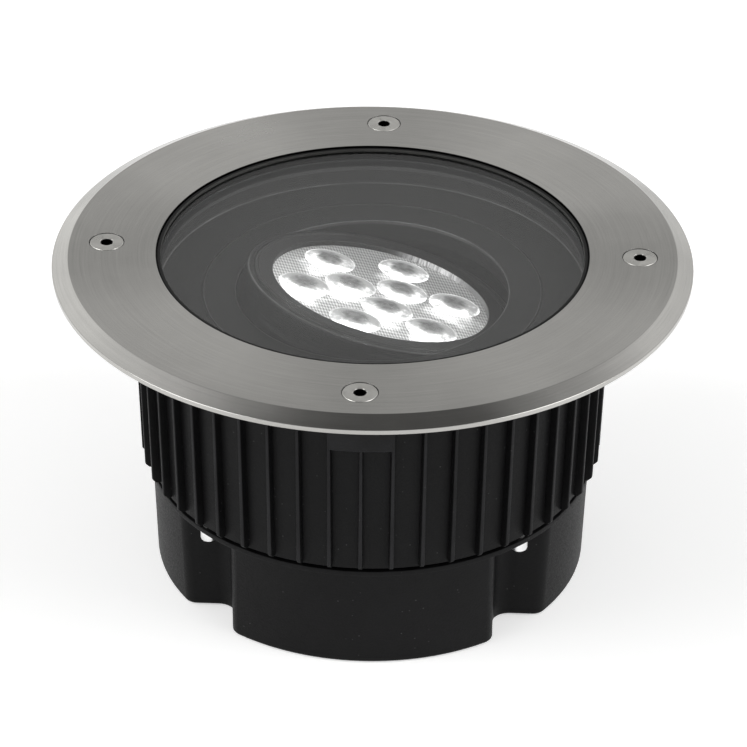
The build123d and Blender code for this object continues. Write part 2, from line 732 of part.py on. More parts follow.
def lower_housing():
    body = lobed_block(0, 0)
    body = fillet(body.faces().sort_by(Axis.Z)[0].edges(), HOUSING_EDGE_ROUND)
    body += post(housing_flange_r, flange_bottom, flange_top)
    body -= lobed_block(HOUSING_WALL, HOUSING_FLOOR)
    body -= post(housing_mouth_r, flange_bottom - 1, flange_top + 1)
    boss = Pos(0, gland_face_y - GLAND_BOSS_INSIDE, GLAND_HEIGHT) * Rot(-90, 0, 0) * Cylinder(
        GLAND_BOSS_R, GLAND_BOSS_INSIDE, align=(Align.CENTER, Align.CENTER, Align.MIN)
    )
    body += boss
    hole = Pos(0, gland_face_y, GLAND_HEIGHT) * Rot(-90, 0, 0) * Cylinder(
        GLAND_THREAD_R + FIT, 3 * GLAND_BOSS_INSIDE
    )
    body -= hole
    for place in around(NOTCH_COUNT, base_screw_circle, NOTCH_START):
        body -= place * post(BASE_SCREW_R + FIT, flange_bottom - 1, flange_top + 1)
    small = screw_places(driver_ear_x, DRIVER_Y) + screw_places(block_ear_x, BLOCK_Y)
    for place in small:
        body -= place * post(SMALL_SCREW_R + FIT, HOUSING_FLOOR - SMALL_SCREW_DEPTH - FIT, HOUSING_FLOOR + 1)
    return body


def base_gasket():
    return tube(base_seal_outer, base_seal_inner, flange_top, body_foot)


def base_screws():
    screws = []
    for place in around(NOTCH_COUNT, base_screw_circle, NOTCH_START):
        head = post(BASE_SCREW_HEAD_R, flange_bottom - BASE_SCREW_HEAD, flange_bottom)
        shank = post(BASE_SCREW_R, flange_bottom, flange_bottom + BASE_SCREW_LENGTH)
        low = flange_bottom - BASE_SCREW_HEAD
        socket = hexagon(BASE_KEY, low - 1, low + BASE_SCREW_HEAD / 2)
        screws.append(place * (head + shank - socket))
    return group(screws)


def lead_grommet():
    """Rubber grommet in the floor of the finned body."""
    hole = GROMMET_HOLE - FIT
    lip = GROMMET_HOLE + GROMMET_LIP
    low = body_foot - GROMMET_LIP_T
    high = floor_top + GROMMET_LIP_T
    grommet = turned_profile(
        [
            (GROMMET_BORE, low),
            (lip, low),
            (lip, body_foot),
            (hole, body_foot),
            (hole, floor_top),
            (lip, floor_top),
            (lip, high - GROMMET_LIP_T / 2),
            (GROMMET_BORE + GROMMET_WALL, high),
            (GROMMET_BORE, high),
        ]
    )
    return Pos(GROMMET_X, GROMMET_Y, 0) * grommet


# ---------------------------------------------------------------- driver and terminal block
def screw_places(half_length, y):
    """Two places on a line along X."""
    return [Pos(side * half_length, y, 0) for side in (-1, 1)]


def small_screws(half_length, y, seat):
    """Two screws through the ears at a height into the floor of the lobed housing."""
    screws = []
    for place in screw_places(half_length, y):
        head = post(SMALL_SCREW_HEAD_R, seat, seat + SMALL_SCREW_HEAD)
        shank = post(SMALL_SCREW_R, HOUSING_FLOOR - SMALL_SCREW_DEPTH, seat)
        screws.append(place * (head + shank))
    return group(screws)


driver_ear_x = DRIVER_LENGTH / 2 - DRIVER_EAR / 2
driver_seat = HOUSING_FLOOR + DRIVER_EAR_THICKNESS
block_length = BLOCK_POLES * BLOCK_PITCH
block_ear_x = block_length / 2 + BLOCK_EAR / 2
block_seat = HOUSING_FLOOR + BLOCK_EAR_THICKNESS


def driver():
    case = Pos(0, DRIVER_Y, HOUSING_FLOOR) * Box(
        DRIVER_LENGTH - 2 * DRIVER_EAR, DRIVER_WIDTH, DRIVER_HEIGHT,
        align=(Align.CENTER, Align.CENTER, Align.MIN),
    )
    case = fillet(case.edges().filter_by(Axis.Z), DRIVER_ROUND)
    case = fillet(case.faces().sort_by(Axis.Z)[-1].edges(), DRIVER_ROUND / 2)
    ears = Pos(0, DRIVER_Y, HOUSING_FLOOR) * Box(
        DRIVER_LENGTH, DRIVER_WIDTH / 2, DRIVER_EAR_THICKNESS, align=(Align.CENTER, Align.CENTER, Align.MIN)
    )
    case += ears
    for place in screw_places(driver_ear_x, DRIVER_Y):
        case -= place * post(SMALL_SCREW_R + FIT, HOUSING_FLOOR - 1, driver_seat + 1)
    return case


def terminal_block():
    base = Pos(0, BLOCK_Y, HOUSING_FLOOR)
    low = (Align.CENTER, Align.CENTER, Align.MIN)
    block = base * Box(block_length, BLOCK_WIDTH, BLOCK_HEIGHT, align=low)
    block = fillet(block.edges().filter_by(Axis.Z), BLOCK_ROUND)
    block += base * Box(block_length + 2 * BLOCK_EAR, BLOCK_WIDTH / 2, BLOCK_EAR_THICKNESS, align=low)
    for i in range(BLOCK_POLES):
        x = (i - (BLOCK_POLES - 1) / 2) * BLOCK_PITCH
        wire = Pos(x, BLOCK_Y, HOUSING_FLOOR + BLOCK_HEIGHT / 2) * Rot(90, 0, 0)
        block -= wire * Cylinder(BLOCK_WIRE_R, BLOCK_WIDTH + 2)
        block -= Pos(x, BLOCK_Y, HOUSING_FLOOR + BLOCK_HEIGHT / 2) * Cylinder(
            BLOCK_WIRE_R, BLOCK_HEIGHT, align=low
        )
    for place in screw_places(block_ear_x, BLOCK_Y):
        block -= place * post(SMALL_SCREW_R + FIT, HOUSING_FLOOR - 1, block_seat + 1)
    return block


# ---------------------------------------------------------------- cable gland, along +Y at the back
GLAND = Pos(0, gland_face_y, GLAND_HEIGHT) * Rot(-90, 0, 0)
gland_end = GLAND_HEX + GLAND_NECK
spigot_end = -GLAND_BOSS_INSIDE - LOCKNUT_THICKNESS - 1


def gland_body():
    body = post(GLAND_THREAD_R, spigot_end, 0) + hexagon(GLAND_NUT_FLATS, 0, GLAND_HEX)
    body += post(GLAND_NECK_R, GLAND_HEX, gland_end)
    seat = gland_end - GLAND_SEAL_LENGTH / 2
    body -= post(GLAND_BORE_R - 1, spigot_end - 1, gland_end + 1)
    return body - post(GLAND_BORE_R + FIT, seat, gland_end + 1)


def gland_locknut():
    nut = hexagon(GLAND_NUT_FLATS, -GLAND_BOSS_INSIDE - LOCKNUT_THICKNESS, -GLAND_BOSS_INSIDE)
    return nut - post(GLAND_THREAD_R + FIT, -2 * GLAND_BOSS_INSIDE - LOCKNUT_THICKNESS, 0)


def gland_seal():
    low = gland_end - GLAND_SEAL_LENGTH / 2
    return tube(GLAND_BORE_R, GLAND_SEAL_BORE, low, low + GLAND_SEAL_LENGTH)


def gland_cap():
    start = GLAND_HEX + CAP_GAP
    end = start + CAP_LENGTH
    seal_end = gland_end + GLAND_SEAL_LENGTH / 2
    return turned_profile(
        [
            (GLAND_NECK_R + FIT, start),
            (CAP_RADIUS, start),
            (CAP_RADIUS, end - 4),
            (CAP_RADIUS - 3, end),
            (CAP_MOUTH_R, end),
            (CAP_MOUTH_R, seal_end),
            (GLAND_BORE_R + FIT, seal_end),
            (GLAND_BORE_R + FIT, gland_end),
            (GLAND_NECK_R + FIT, gland_end),
        ]
    )


# ---------------------------------------------------------------- all nodes
save(trim_ring(), "trim_ring")
save(trim_screws(), "trim_screws")
save(cover_glass(), "cover_glass")
save(glass_gasket(), "glass_gasket")
save(glass_seat_ring(), "glass_seat_ring")
save(baffle(), "baffle")
save(finned_body(), "finned_body")
save(base_gasket(), "base_gasket")
save(lower_housing(), "lower_housing")
save(base_screws(), "base_screws")
save(lead_grommet(), "lead_grommet")
save(driver(), "led_driver")
save(small_screws(driver_ear_x, DRIVER_Y, driver_seat), "driver_screws")
save(terminal_block(), "terminal_block")
save(small_screws(block_ear_x, BLOCK_Y, block_seat), "terminal_block_screws")
save(gland_body(), "gland_body", GLAND)
save(gland_locknut(), "gland_locknut", GLAND)
save(gland_seal(), "gland_seal", GLAND)
save(gland_cap(), "gland_cap", GLAND)
save(turntable(), "turntable", TURNED)
save(turntable_circlip(), "turntable_circlip", TURNED)
save(head_shell(), "head_shell", TILTED)
save(head_bezel(), "head_bezel", TILTED)
save(lens_plate(), "lens_plate", TILTED)
save(lens_holder(), "lens_holder", TILTED)
save(led_board(), "led_board", TILTED)
save(leds(), "leds", TILTED)
save(board_screws(), "board_screws", TILTED)
save(heat_sink(), "heat_sink", TILTED)
save(heat_sink_screws(), "heat_sink_screws", TILTED)
save(pivot_screws(), "pivot_screws", TILTED)
save(friction_washers(), "friction_washers", TILTED)
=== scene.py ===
"""Looks of an in-ground well light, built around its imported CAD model.

The steel ring, the glass and what lies under it, the finned body and the lobed housing are
modelled here at full detail. Lengths are metres in the part's own frame, +Z up and -Y to the
front, but the outlines of pieces are in millimetres: (radius or X, height, rounding) corners.
"""

import json
from math import atan2, cos, pi, radians, sin, sqrt, tau

import bmesh
import bpy
from bpy.props import FloatProperty, FloatVectorProperty, IntProperty, PointerProperty
from mathutils import Matrix, Vector


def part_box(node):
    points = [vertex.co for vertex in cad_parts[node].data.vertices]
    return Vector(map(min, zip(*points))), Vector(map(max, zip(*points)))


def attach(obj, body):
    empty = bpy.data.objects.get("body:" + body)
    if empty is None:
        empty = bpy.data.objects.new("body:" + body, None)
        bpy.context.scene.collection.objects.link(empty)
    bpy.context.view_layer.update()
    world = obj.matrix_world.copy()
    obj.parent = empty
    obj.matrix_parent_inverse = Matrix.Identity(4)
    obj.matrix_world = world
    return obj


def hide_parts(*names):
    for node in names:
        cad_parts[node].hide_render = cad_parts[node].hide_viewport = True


bl_info = {
    "name": "In-ground well light",
    "version": (1, 0, 0),
    "blender": (4, 5, 0),
    "location": "3D View > Sidebar > Well Light",
    "description": "Builds the detailed pieces and finishes of an in-ground well light",
    "category": "Object",
}

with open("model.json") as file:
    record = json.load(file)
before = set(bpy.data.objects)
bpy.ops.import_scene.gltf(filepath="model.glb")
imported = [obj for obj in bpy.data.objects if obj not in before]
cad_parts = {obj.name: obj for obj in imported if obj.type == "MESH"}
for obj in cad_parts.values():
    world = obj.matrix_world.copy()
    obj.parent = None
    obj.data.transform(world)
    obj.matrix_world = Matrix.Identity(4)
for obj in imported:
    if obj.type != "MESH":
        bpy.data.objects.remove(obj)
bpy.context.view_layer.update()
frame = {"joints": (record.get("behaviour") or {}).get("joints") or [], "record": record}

MM = 0.001
SIDES = 256             # facets round the large turned pieces
CORNER_STEPS = 4        # facets in a rounded corner
RING_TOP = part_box("trim_ring")[1].z
GLASS_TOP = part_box("cover_glass")[1].z

# sizes that several pieces share, in millimetres
SCREW_CIRCLE = 91.6     # radius of the circle of the trim screws
TRIM_HEAD = 5.9         # radius of a trim screw's head
MOUTH = 78.4            # radius of the body's mouth
STACK = 78.3            # radius of the gasket, the seat ring and the pan in that mouth
LIP = 118.6             # underside of the ring's lip, top of the gasket
GLASS_FACE = 118.0
GLASS_FOOT = 112.0
FLANGE_TOP = 116.5      # of the finned body, under the ring
GASKET_FOOT = 111.1
SEAT_FOOT = 106.8
LEDGE = 105.8           # height of the ledge in the mouth, under the pan
PAN_FLOOR = 100.8       # top of the pan's floor and of the turning ring
WALL = 79.6             # radius of the body between its fins, at the top
FIN_REACH = 82.5        # radius of the fins' tips, at the top
FIN_TOP = 103.0
FIN_TAPER = 0.45        # share of its width that a fin loses from the wall to its tip
BASE_CIRCLE = 75.3      # radius of the circle of the base screws
SEAL_TOP = 40.5         # top of the flat seal, foot of the finned body
HOUSING_TOP = 39.5
FLANGE_FOOT = 37.5      # of the housing
LOBE_REACH = 77.2       # radius of the lobes, at the top
LOBE_DRAFT = 1.2        # how much narrower they are at the foot
FLANGE = 78.3           # radius of the housing's flange
FLANGE_EDGE = 0.35      # rounding of its edges
HOUSING_MOUTH = 61.5
HOUSING_WALL = 3.0
NOTCH_HALF = 45.0       # from the middle of a lobe to the wall of a notch
BALL = 48.8             # radius of the head
RIM = 13.2              # height of the ball's rim in the head's frame
BEZEL_OPENING = 38.4
LENS_TOP = 11.5
LENS_RADIUS = 9.2
LENS_CIRCLES = ((6, 27.2, 12.0), (3, 10.9, 44.0))       # number, radius, first angle in degrees
SPILL = Vector((-6.8, 6.0)) * MM    # from a lens to where its light spills over the plate
RULES = ((72.0, 1.0, 0.4), (162.0, 0.72, 0.13), (155.0, 2.3, 0.3))  # degrees, pitch in rulings, depth
DARK = 0.012            # shade of recesses that no light reaches

# the head's own frame: X is the tilt axis, Z its face's outward direction
joints = {joint["name"]: joint for joint in frame["joints"]}
PIVOT = Vector(joints["head_tilt"]["pos_m"])
TILT_AXIS = Vector(joints["head_tilt"]["axis"])
HEAD_AIM = atan2(TILT_AXIS.y, TILT_AXIS.x)
HEAD_TILT = radians(15)
TURNED_FRAME = Matrix.Translation(PIVOT) @ Matrix.Rotation(HEAD_AIM, 4, "Z")
HEAD_FRAME = TURNED_FRAME @ Matrix.Rotation(HEAD_TILT, 4, "X")

# the gland's own frame: Z is its axis, outwards at the back
GLAND_FRAME = Matrix.Translation((0, 0.0772, 0.017)) @ Matrix.Rotation(-pi / 2, 4, "X")


# ------------------------------------------------------------------ outlines and meshes

def rounded(corners, steps=CORNER_STEPS):
    """Closed outline through (across, up, rounding) corners, with an arc in each rounded corner."""
    outline = []
    for i, (across, up, rounding) in enumerate(corners):
        here = Vector((across, up))
        last = Vector(corners[i - 1][:2]) - here
        following = Vector(corners[(i + 1) % len(corners)][:2]) - here
        if rounding <= 0:
            outline.append(here)
            continue
        half = last.angle(following) / 2
        reach = rounding * cos(half) / sin(half)
        centre = here + (last.normalized() + following.normalized()).normalized() * rounding / sin(half)
        start = here + last.normalized() * reach - centre
        sweep = start.angle_signed(here + following.normalized() * reach - centre)
        for k in range(steps + 1):
            outline.append(centre + Matrix.Rotation(-sweep * k / steps, 2) @ start)
    return outline


def round_ring(radius, height, sides):
    """One loop of a turned piece, counted from +X."""
    angles = [tau * i / sides for i in range(sides)]
    return [Vector((radius * cos(angle), radius * sin(angle), height)) for angle in angles]


def hexagon_ring(flats, height, sides):
    """One loop on a hexagon, with its corners on every sixth of the loop."""
    loop = []
    for i in range(sides):
        angle = tau * i / sides
        corner = (angle + pi / 6) % (pi / 3) - pi / 6
        reach = flats / 2 / cos(corner - pi / 6 if corner > 0 else corner + pi / 6)
        loop.append(Vector((reach * cos(angle), reach * sin(angle), height)))
    return loop


def lofted(name, loops, closed=False):
    """Mesh through loops of equally many points, capped, or with its last loop joined to its first."""
    shape = bmesh.new()
    rows = [[shape.verts.new(point) for point in loop] for loop in loops]
    for one, two in list(zip(rows, rows[1:])) + ([(rows[-1], rows[0])] if closed else []):
        for i in range(len(one)):
            j = (i + 1) % len(one)
            shape.faces.new((one[i], one[j], two[j], two[i]))
    if not closed:
        shape.faces.new(rows[0])
        shape.faces.new(rows[-1])
    return as_object(name, shape)


def turned(name, outline, sides=SIDES):
    """Solid of revolution about Z of a closed outline. Points on the axis become poles."""
    shape = bmesh.new()
    rows = []
    for point in outline:
        if point.x < 1e-7:
            rows.append([shape.verts.new((0, 0, point.y))])
        else:
            rows.append([shape.verts.new(p) for p in round_ring(point.x, point.y, sides)])
    for one, two in zip(rows, rows[1:] + rows[:1]):
        for i in range(sides):
            j = (i + 1) % sides
            if len(one) > 1 and len(two) > 1:
                shape.faces.new((one[i], one[j], two[j], two[i]))
            elif len(one) > 1:
                shape.faces.new((one[i], one[j], two[0]))
            elif len(two) > 1:
                shape.faces.new((one[0], two[j], two[i]))
    return as_object(name, shape)


def lathe(name, *corners, sides=SIDES, steps=CORNER_STEPS):
    """Turned piece from corners in millimetres, each (radius, height) or (radius, height, rounding)."""
    corners = [tuple(value * MM for value in (*corner, 0)[:3]) for corner in corners]
    return turned(name, rounded(corners, steps), sides)


def rod(radius, foot, top, sides=32, rounding=0):
    """Solid round bar about Z, its top edge rounded, in millimetres."""
    return lathe("rod", (0, foot), (radius, foot), (radius, top, rounding), (0, top), sides=sides)


def sleeve(inside, outside, foot, top):
    """Plain tube about Z, to cut with, in millimetres."""
    return lathe("sleeve", (inside, foot), (outside, foot), (outside, top), (inside, top), sides=128)


def slab(name, corners, half, rounding=0.0, steps=2):
    """Plate with an outline in XZ in millimetres, from -half to +half metres in Y, edges rounded."""
    shape = bmesh.new()
    outline = [Vector(corner) * MM for corner in corners]
    face = shape.faces.new([shape.verts.new((p[0], -half, p[1])) for p in outline])
    swept = bmesh.ops.extrude_face_region(shape, geom=[face])
    moved = [v for v in swept["geom"] if isinstance(v, bmesh.types.BMVert)]
    bmesh.ops.translate(shape, verts=moved, vec=(0, 2 * half, 0))
    if rounding > 0:
        bmesh.ops.recalc_face_normals(shape, faces=shape.faces)
        bmesh.ops.bevel(shape, geom=list(shape.edges), offset=rounding, segments=steps, profile=0.5,
                        affect="EDGES")
    return as_object(name, shape)


def new_object(name, mesh):
    piece = bpy.data.objects.new(name, mesh)
    bpy.context.scene.collection.objects.link(piece)
    return piece


def as_object(name, shape):
    """Object at the origin from a closed mesh, its faces turned outwards."""
    bmesh.ops.remove_doubles(shape, verts=shape.verts, dist=1e-7)
    bmesh.ops.recalc_face_normals(shape, faces=shape.faces)
    mesh = bpy.data.meshes.new(name)
    shape.to_mesh(mesh)
    shape.free()
    return new_object(name, mesh)


def settle(piece):
    """Takes over the plain mesh that a piece's modifiers make, and removes them."""
    bpy.context.view_layer.update()
    graph = bpy.context.evaluated_depsgraph_get()
    result = bpy.data.meshes.new_from_object(piece.evaluated_get(graph), depsgraph=graph)
    piece.modifiers.clear()
    old = piece.data
    piece.data = result
    bpy.data.meshes.remove(old)


def cut(piece, *tools):
    """Cuts closed tools out of a piece and discards them."""
    for tool in tools:
        trim = piece.modifiers.new("cut", "BOOLEAN")
        trim.operation = "DIFFERENCE"
        trim.solver = "EXACT"
        trim.object = tool
    settle(piece)
    for tool in tools:
        bpy.data.objects.remove(tool)


def joined(name, *pieces):
    """One object from several, each a shell of its own."""
    shape = bmesh.new()
    for piece in pieces:
        shape.from_mesh(piece.data)
        bpy.data.objects.remove(piece)
    mesh = bpy.data.meshes.new(name)
    shape.to_mesh(mesh)
    shape.free()
    return new_object(name, mesh)


def placed(piece, place):
    """Moves a piece's mesh, and leaves its object at the origin."""
    piece.data.transform(place)
    return piece


def on_circle(radius, degrees):
    """Place at a radius in millimetres, turned about Z from +X."""
    return Matrix.Rotation(radians(degrees), 4, "Z") @ Matrix.Translation((radius * MM, 0, 0))


def finished(piece, body, slot, *nodes, look=None, crease=32):
    """Finish, smooth shading, weighted normals, body and the CAD nodes that the piece stands for."""
    piece.data.materials.clear()
    piece.data.materials.append(finish(look or slot))
    piece.data.shade_smooth()
    piece.data.set_sharp_from_angle(angle=radians(crease))
    piece.modifiers.new("weighted normals", "WEIGHTED_NORMAL").keep_sharp = True
    settle(piece)
    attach(piece, body)
    if nodes:
        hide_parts(*nodes)


# ------------------------------------------------------------------ node trees

class Value:
    """A node's output, to be reckoned with."""

    def __init__(self, tree, socket):
        self.tree = tree
        self.socket = socket

    def __add__(self, other):
        return self.tree.math("ADD", self, other)

    def __sub__(self, other):
        return self.tree.math("SUBTRACT", self, other)

    def __rsub__(self, other):
        return self.tree.math("SUBTRACT", other, self)

    def __mul__(self, other):
        return self.tree.math("MULTIPLY", self, other)

    def __truediv__(self, other):
        return self.tree.math("DIVIDE", self, other)

    def __rtruediv__(self, other):
        return self.tree.math("DIVIDE", other, self)

    def __abs__(self):
        return self.tree.math("ABSOLUTE", self)

    def below(self, limit):
        return self.tree.math("LESS_THAN", self, limit)

    def above(self, limit):
        return self.tree.math("GREATER_THAN", self, limit)

    def remap(self, low_in, high_in, low_out=0.0, high_out=1.0, smooth=False):
        curve = "SMOOTHSTEP" if smooth else "LINEAR"
        node = self.tree.node("ShaderNodeMapRange", interpolation_type=curve)
        return self.tree.fill(node, self, low_in, high_in, low_out, high_out)


class Tree:
    """Short calls for laying out one node tree."""

    def __init__(self, nodes):
        self.tree = nodes

    def node(self, kind, **values):
        made = self.tree.nodes.new(kind)
        for name, value in values.items():
            setattr(made, name, value)
        return made

    def feed(self, target, value):
        """Links a socket, or writes a plain value."""
        if isinstance(value, Value):
            self.tree.links.new(value.socket, target)
        else:
            target.default_value = value

    def fill(self, node, *values, output=0, **named):
        """Feeds a node's inputs, in order or by name, and returns one of its outputs."""
        for socket, value in zip(node.inputs, values):
            self.feed(socket, value)
        for name, value in named.items():
            self.feed(node.inputs[name.replace("_", " ")], value)
        return Value(self, node.outputs[output])

    def math(self, operation, *values):
        return self.fill(self.node("ShaderNodeMath", operation=operation), *values)

    def vector(self, operation, *values):
        node = self.node("ShaderNodeVectorMath", operation=operation)
        output = "Value" if operation in ("LENGTH", "DISTANCE") else "Vector"
        return self.fill(node, *values, output=output)

    def combine(self, x, y, z):
        return self.fill(self.node("ShaderNodeCombineXYZ"), x, y, z)

    def length(self, x, y):
        return self.vector("LENGTH", self.combine(x, y, 0.0))

    def split(self, vector):
        node = self.node("ShaderNodeSeparateXYZ")
        self.feed(node.inputs[0], vector)
        return [Value(self, socket) for socket in node.outputs]

    def noise(self, vector, scale, detail=3.0, roughness=0.5, w=None):
        node = self.node("ShaderNodeTexNoise", noise_dimensions="3D" if w is None else "4D")
        if w is not None:
            self.feed(node.inputs["W"], w)
        return self.fill(node, Vector=vector, Scale=scale, Detail=detail, Roughness=roughness)

    def blend(self, factor, one, two, kind="MIX"):
        """Mixes two colours, given as values or as plain red, green and blue."""
        node = self.node("ShaderNodeMix", data_type="RGBA", blend_type=kind)
        self.feed(node.inputs[0], factor)
        for socket, colour in ((node.inputs[6], one), (node.inputs[7], two)):
            self.feed(socket, colour if isinstance(colour, Value) else (*colour, 1.0))
        return Value(self, node.outputs[2])

    def group(self, maker, **values):
        """Outputs, by name, of a shared group."""
        node = self.node("ShaderNodeGroup")
        node.node_tree = shared_group(maker)
        self.fill(node, **values)
        return {socket.name: Value(self, socket) for socket in node.outputs}


def new_group(name, kind, inputs, outputs):
    """Empty node group with named sockets: (name, kind, default) in and (name, kind) out."""
    shared = bpy.data.node_groups.new(name, kind + "NodeTree")
    for label, sort, default in inputs:
        socket = shared.interface.new_socket(label, in_out="INPUT", socket_type="NodeSocket" + sort)
        if default is not None:
            socket.default_value = default
    for label, sort in outputs:
        shared.interface.new_socket(label, in_out="OUTPUT", socket_type="NodeSocket" + sort)
    tree = Tree(shared)
    given = {socket.name: Value(tree, socket) for socket in tree.node("NodeGroupInput").outputs}
    return shared, tree, given, tree.node("NodeGroupOutput").inputs


GROUPS = {}


def shared_group(maker):
    """A node group, built on first use."""
    if maker not in GROUPS:
        GROUPS[maker] = maker()
    return GROUPS[maker]


# ------------------------------------------------------------------ shader groups

def turning_marks():
    """Fine streaks that run round the Z axis of the given coordinates, on flats and walls alike."""
    shared, tree, given, out = new_group(
        "turning marks", "Shader",
        [("Vector", "Vector", (0, 0, 0)), ("Lines per metre", "Float", 1500.0), ("Length", "Float", 1.5)],
        [("Streaks", "Float"), ("Broad", "Float")])
    x, y, z = tree.split(given["Vector"])
    radius = tree.length(x, y)
    across = radius + z
    side = radius - z
    reach = given["Length"] / tree.math("MAXIMUM", radius, 1e-5)
    round_x = x * reach
    round_y = y * reach
    fine = tree.combine(round_x, round_y, across * given["Lines per metre"])
    finer = side * (given["Lines per metre"] * 0.37)
    tree.feed(out["Streaks"], tree.noise(fine, 1.0, detail=4.0, roughness=0.7, w=finer))
    broad = tree.combine(round_x, round_y, across * 90.0)
    tree.feed(out["Broad"], tree.noise(broad, 0.8, detail=2.0, w=side))
    return shared


def powder_grain():
    """Fine orange-peel grain of a powder coat, with rare pale specks."""
    shared, tree, given, out = new_group(
        "powder grain", "Shader",
        [("Vector", "Vector", (0, 0, 0)), ("Grains per metre", "Float", 2200.0), ("Specks", "Float", 0.5)],
        [("Grain", "Float"), ("Cloud", "Float"), ("Speck", "Float")])
    vector = given["Vector"]
    tree.feed(out["Grain"], tree.noise(vector, given["Grains per metre"], detail=2.0, roughness=0.6))
    tree.feed(out["Cloud"], tree.noise(vector, 38.0, detail=4.0, roughness=0.6))
    cells = tree.node("ShaderNodeTexVoronoi", feature="F1")
    near = tree.fill(cells, Vector=vector, Scale=420.0).remap(0.0, 0.13, 1.0, 0.0)
    lucky = tree.split(Value(tree, cells.outputs["Color"]))[0].above(1.0 - given["Specks"] * 0.1)
    tree.feed(out["Speck"], near * lucky)
    return shared


def smears():
    """Soft uneven patches, as handling and cleaning leave on metal and glass."""
    shared, tree, given, out = new_group(
        "smears", "Shader",
        [("Vector", "Vector", (0, 0, 0)), ("Size", "Float", 22.0)],
        [("Patches", "Float")])
    bent = tree.noise(given["Vector"], given["Size"], detail=3.0, roughness=0.55)
    drawn = tree.vector("ADD", given["Vector"], tree.combine(bent * 0.02, 0.0, 0.0))
    tree.feed(out["Patches"], tree.noise(drawn, given["Size"], detail=5.0, roughness=0.6))
    return shared


def recesses():
    """Mask of the shaded recesses round the four trim screws, below a height."""
    shared, tree, given, out = new_group(
        "recesses", "Shader",
        [("Vector", "Vector", (0, 0, 0)), ("Reach", "Float", 0.006), ("Height", "Float", 0.119)],
        [("Mask", "Float")])
    x, y, z = tree.split(given["Vector"])
    x, y = abs(x), abs(y)
    away = tree.length(tree.math("MAXIMUM", x, y) - SCREW_CIRCLE * MM, tree.math("MINIMUM", x, y))
    tree.feed(out["Mask"], away.below(given["Reach"]) * z.below(given["Height"]))
    return shared


# ------------------------------------------------------------------ materials

class Look(Tree):
    """A material with one Principled shader, laid out in Object coordinates."""

    def __init__(self, name, colour, roughness, place=None, **values):
        self.material = bpy.data.materials.new(name)
        self.material.use_nodes = True
        self.material.diffuse_color = (*colour, 1.0)
        super().__init__(self.material.node_tree)
        self.shader = self.tree.nodes["Principled BSDF"]
        self.set(Base_Color=(*colour, 1.0), Roughness=roughness, **values)
        self.where = self.fill(self.node("ShaderNodeTexCoord"), output="Object")
        self.local = self.where if place is None else self.centred(place.inverted())

    def set(self, **values):
        self.fill(self.shader, **values)

    def centred(self, back):
        """Coordinates in a piece's own frame."""
        node = self.node("ShaderNodeMapping", vector_type="POINT")
        return self.fill(
            node, Vector=self.where, Location=back.to_translation(), Rotation=back.to_euler())

    def bump(self, height, distance):
        node = self.node("ShaderNodeBump")
        self.set(Normal=self.fill(node, Height=height, Distance=distance, Strength=1.0))

    def shine(self, light):
        """Light of the surface's own, in grey."""
        self.set(Emission_Color=self.combine(light, light, light), Emission_Strength=1.0)

    def output(self, surface):
        self.feed(self.tree.nodes["Material Output"].inputs["Surface"], surface)


def shade(colour, factor):
    return tuple(min(1.0, c * factor) for c in colour)


def grey(level):
    return (level, level, level)


def brushed_steel(name, colour, roughness):
    """Turned and brushed steel ring, its colour painted with reflections: brighter in four wedges, darker
    on its far bevel and outer edge; painted shade in its recesses and at its lip.
    """
    look = Look(name, colour, roughness, Metallic=1.0)
    marks = look.group(turning_marks, Vector=look.where, Lines_per_metre=1700.0, Length=2.2)
    patches = look.group(smears, Vector=look.where, Size=16.0)["Patches"]
    x, y, z = look.split(look.where)
    across = x * x + y * y
    fan = x * y * 2.0 / across
    fan = fan * fan
    far_bevel = z.below(119.3 * MM) * y.remap(0.0, 50.0 * MM)
    # painted reflection: the steel is brighter in four wedges round the ring, and at the back of its far
    # bevel
    reflection_fans = fan.remap(0.0, 0.8, -0.55, 0.3) + far_bevel * fan.remap(0.0, 0.3, 0.9, 0.0)
    tone = marks["Streaks"].remap(0.3, 0.7, -0.22, 0.22) + patches.remap(0.3, 0.7, -0.3, 0.3)
    steel = look.blend((tone + reflection_fans).remap(-0.9, 0.7), shade(colour, 0.68), shade(colour, 1.08))
    # painted shade: the outer upright edge is darker, dimming its reflection of the floor
    rim = across.remap((109.6 * MM) ** 2, (109.9 * MM) ** 2, 0.0, 0.4)
    steel = look.blend(rim, steel, shade(colour, 0.35))
    # painted reflection: a dark band on both sides of the far bevel
    steel = look.blend(far_bevel * fan.remap(0.1, 0.7, 0.0, 0.5), steel, shade(colour, 0.3))
    # painted shade: near black in the countersinks round the screws and along the ring's inner lip
    recess = look.group(recesses, Vector=look.where, Reach=6.6 * MM, Height=119.49 * MM)["Mask"]
    shaded = look.math("MAXIMUM", recess, across.below((74.46 * MM) ** 2))
    rough = marks["Broad"].remap(0.3, 0.7, roughness - 0.04, roughness + 0.04)
    look.set(Base_Color=look.blend(shaded, steel, grey(DARK)),
             Roughness=rough + patches.remap(0.35, 0.65, -0.025, 0.035))
    look.bump(marks["Streaks"], 0.000012)
    return look.material


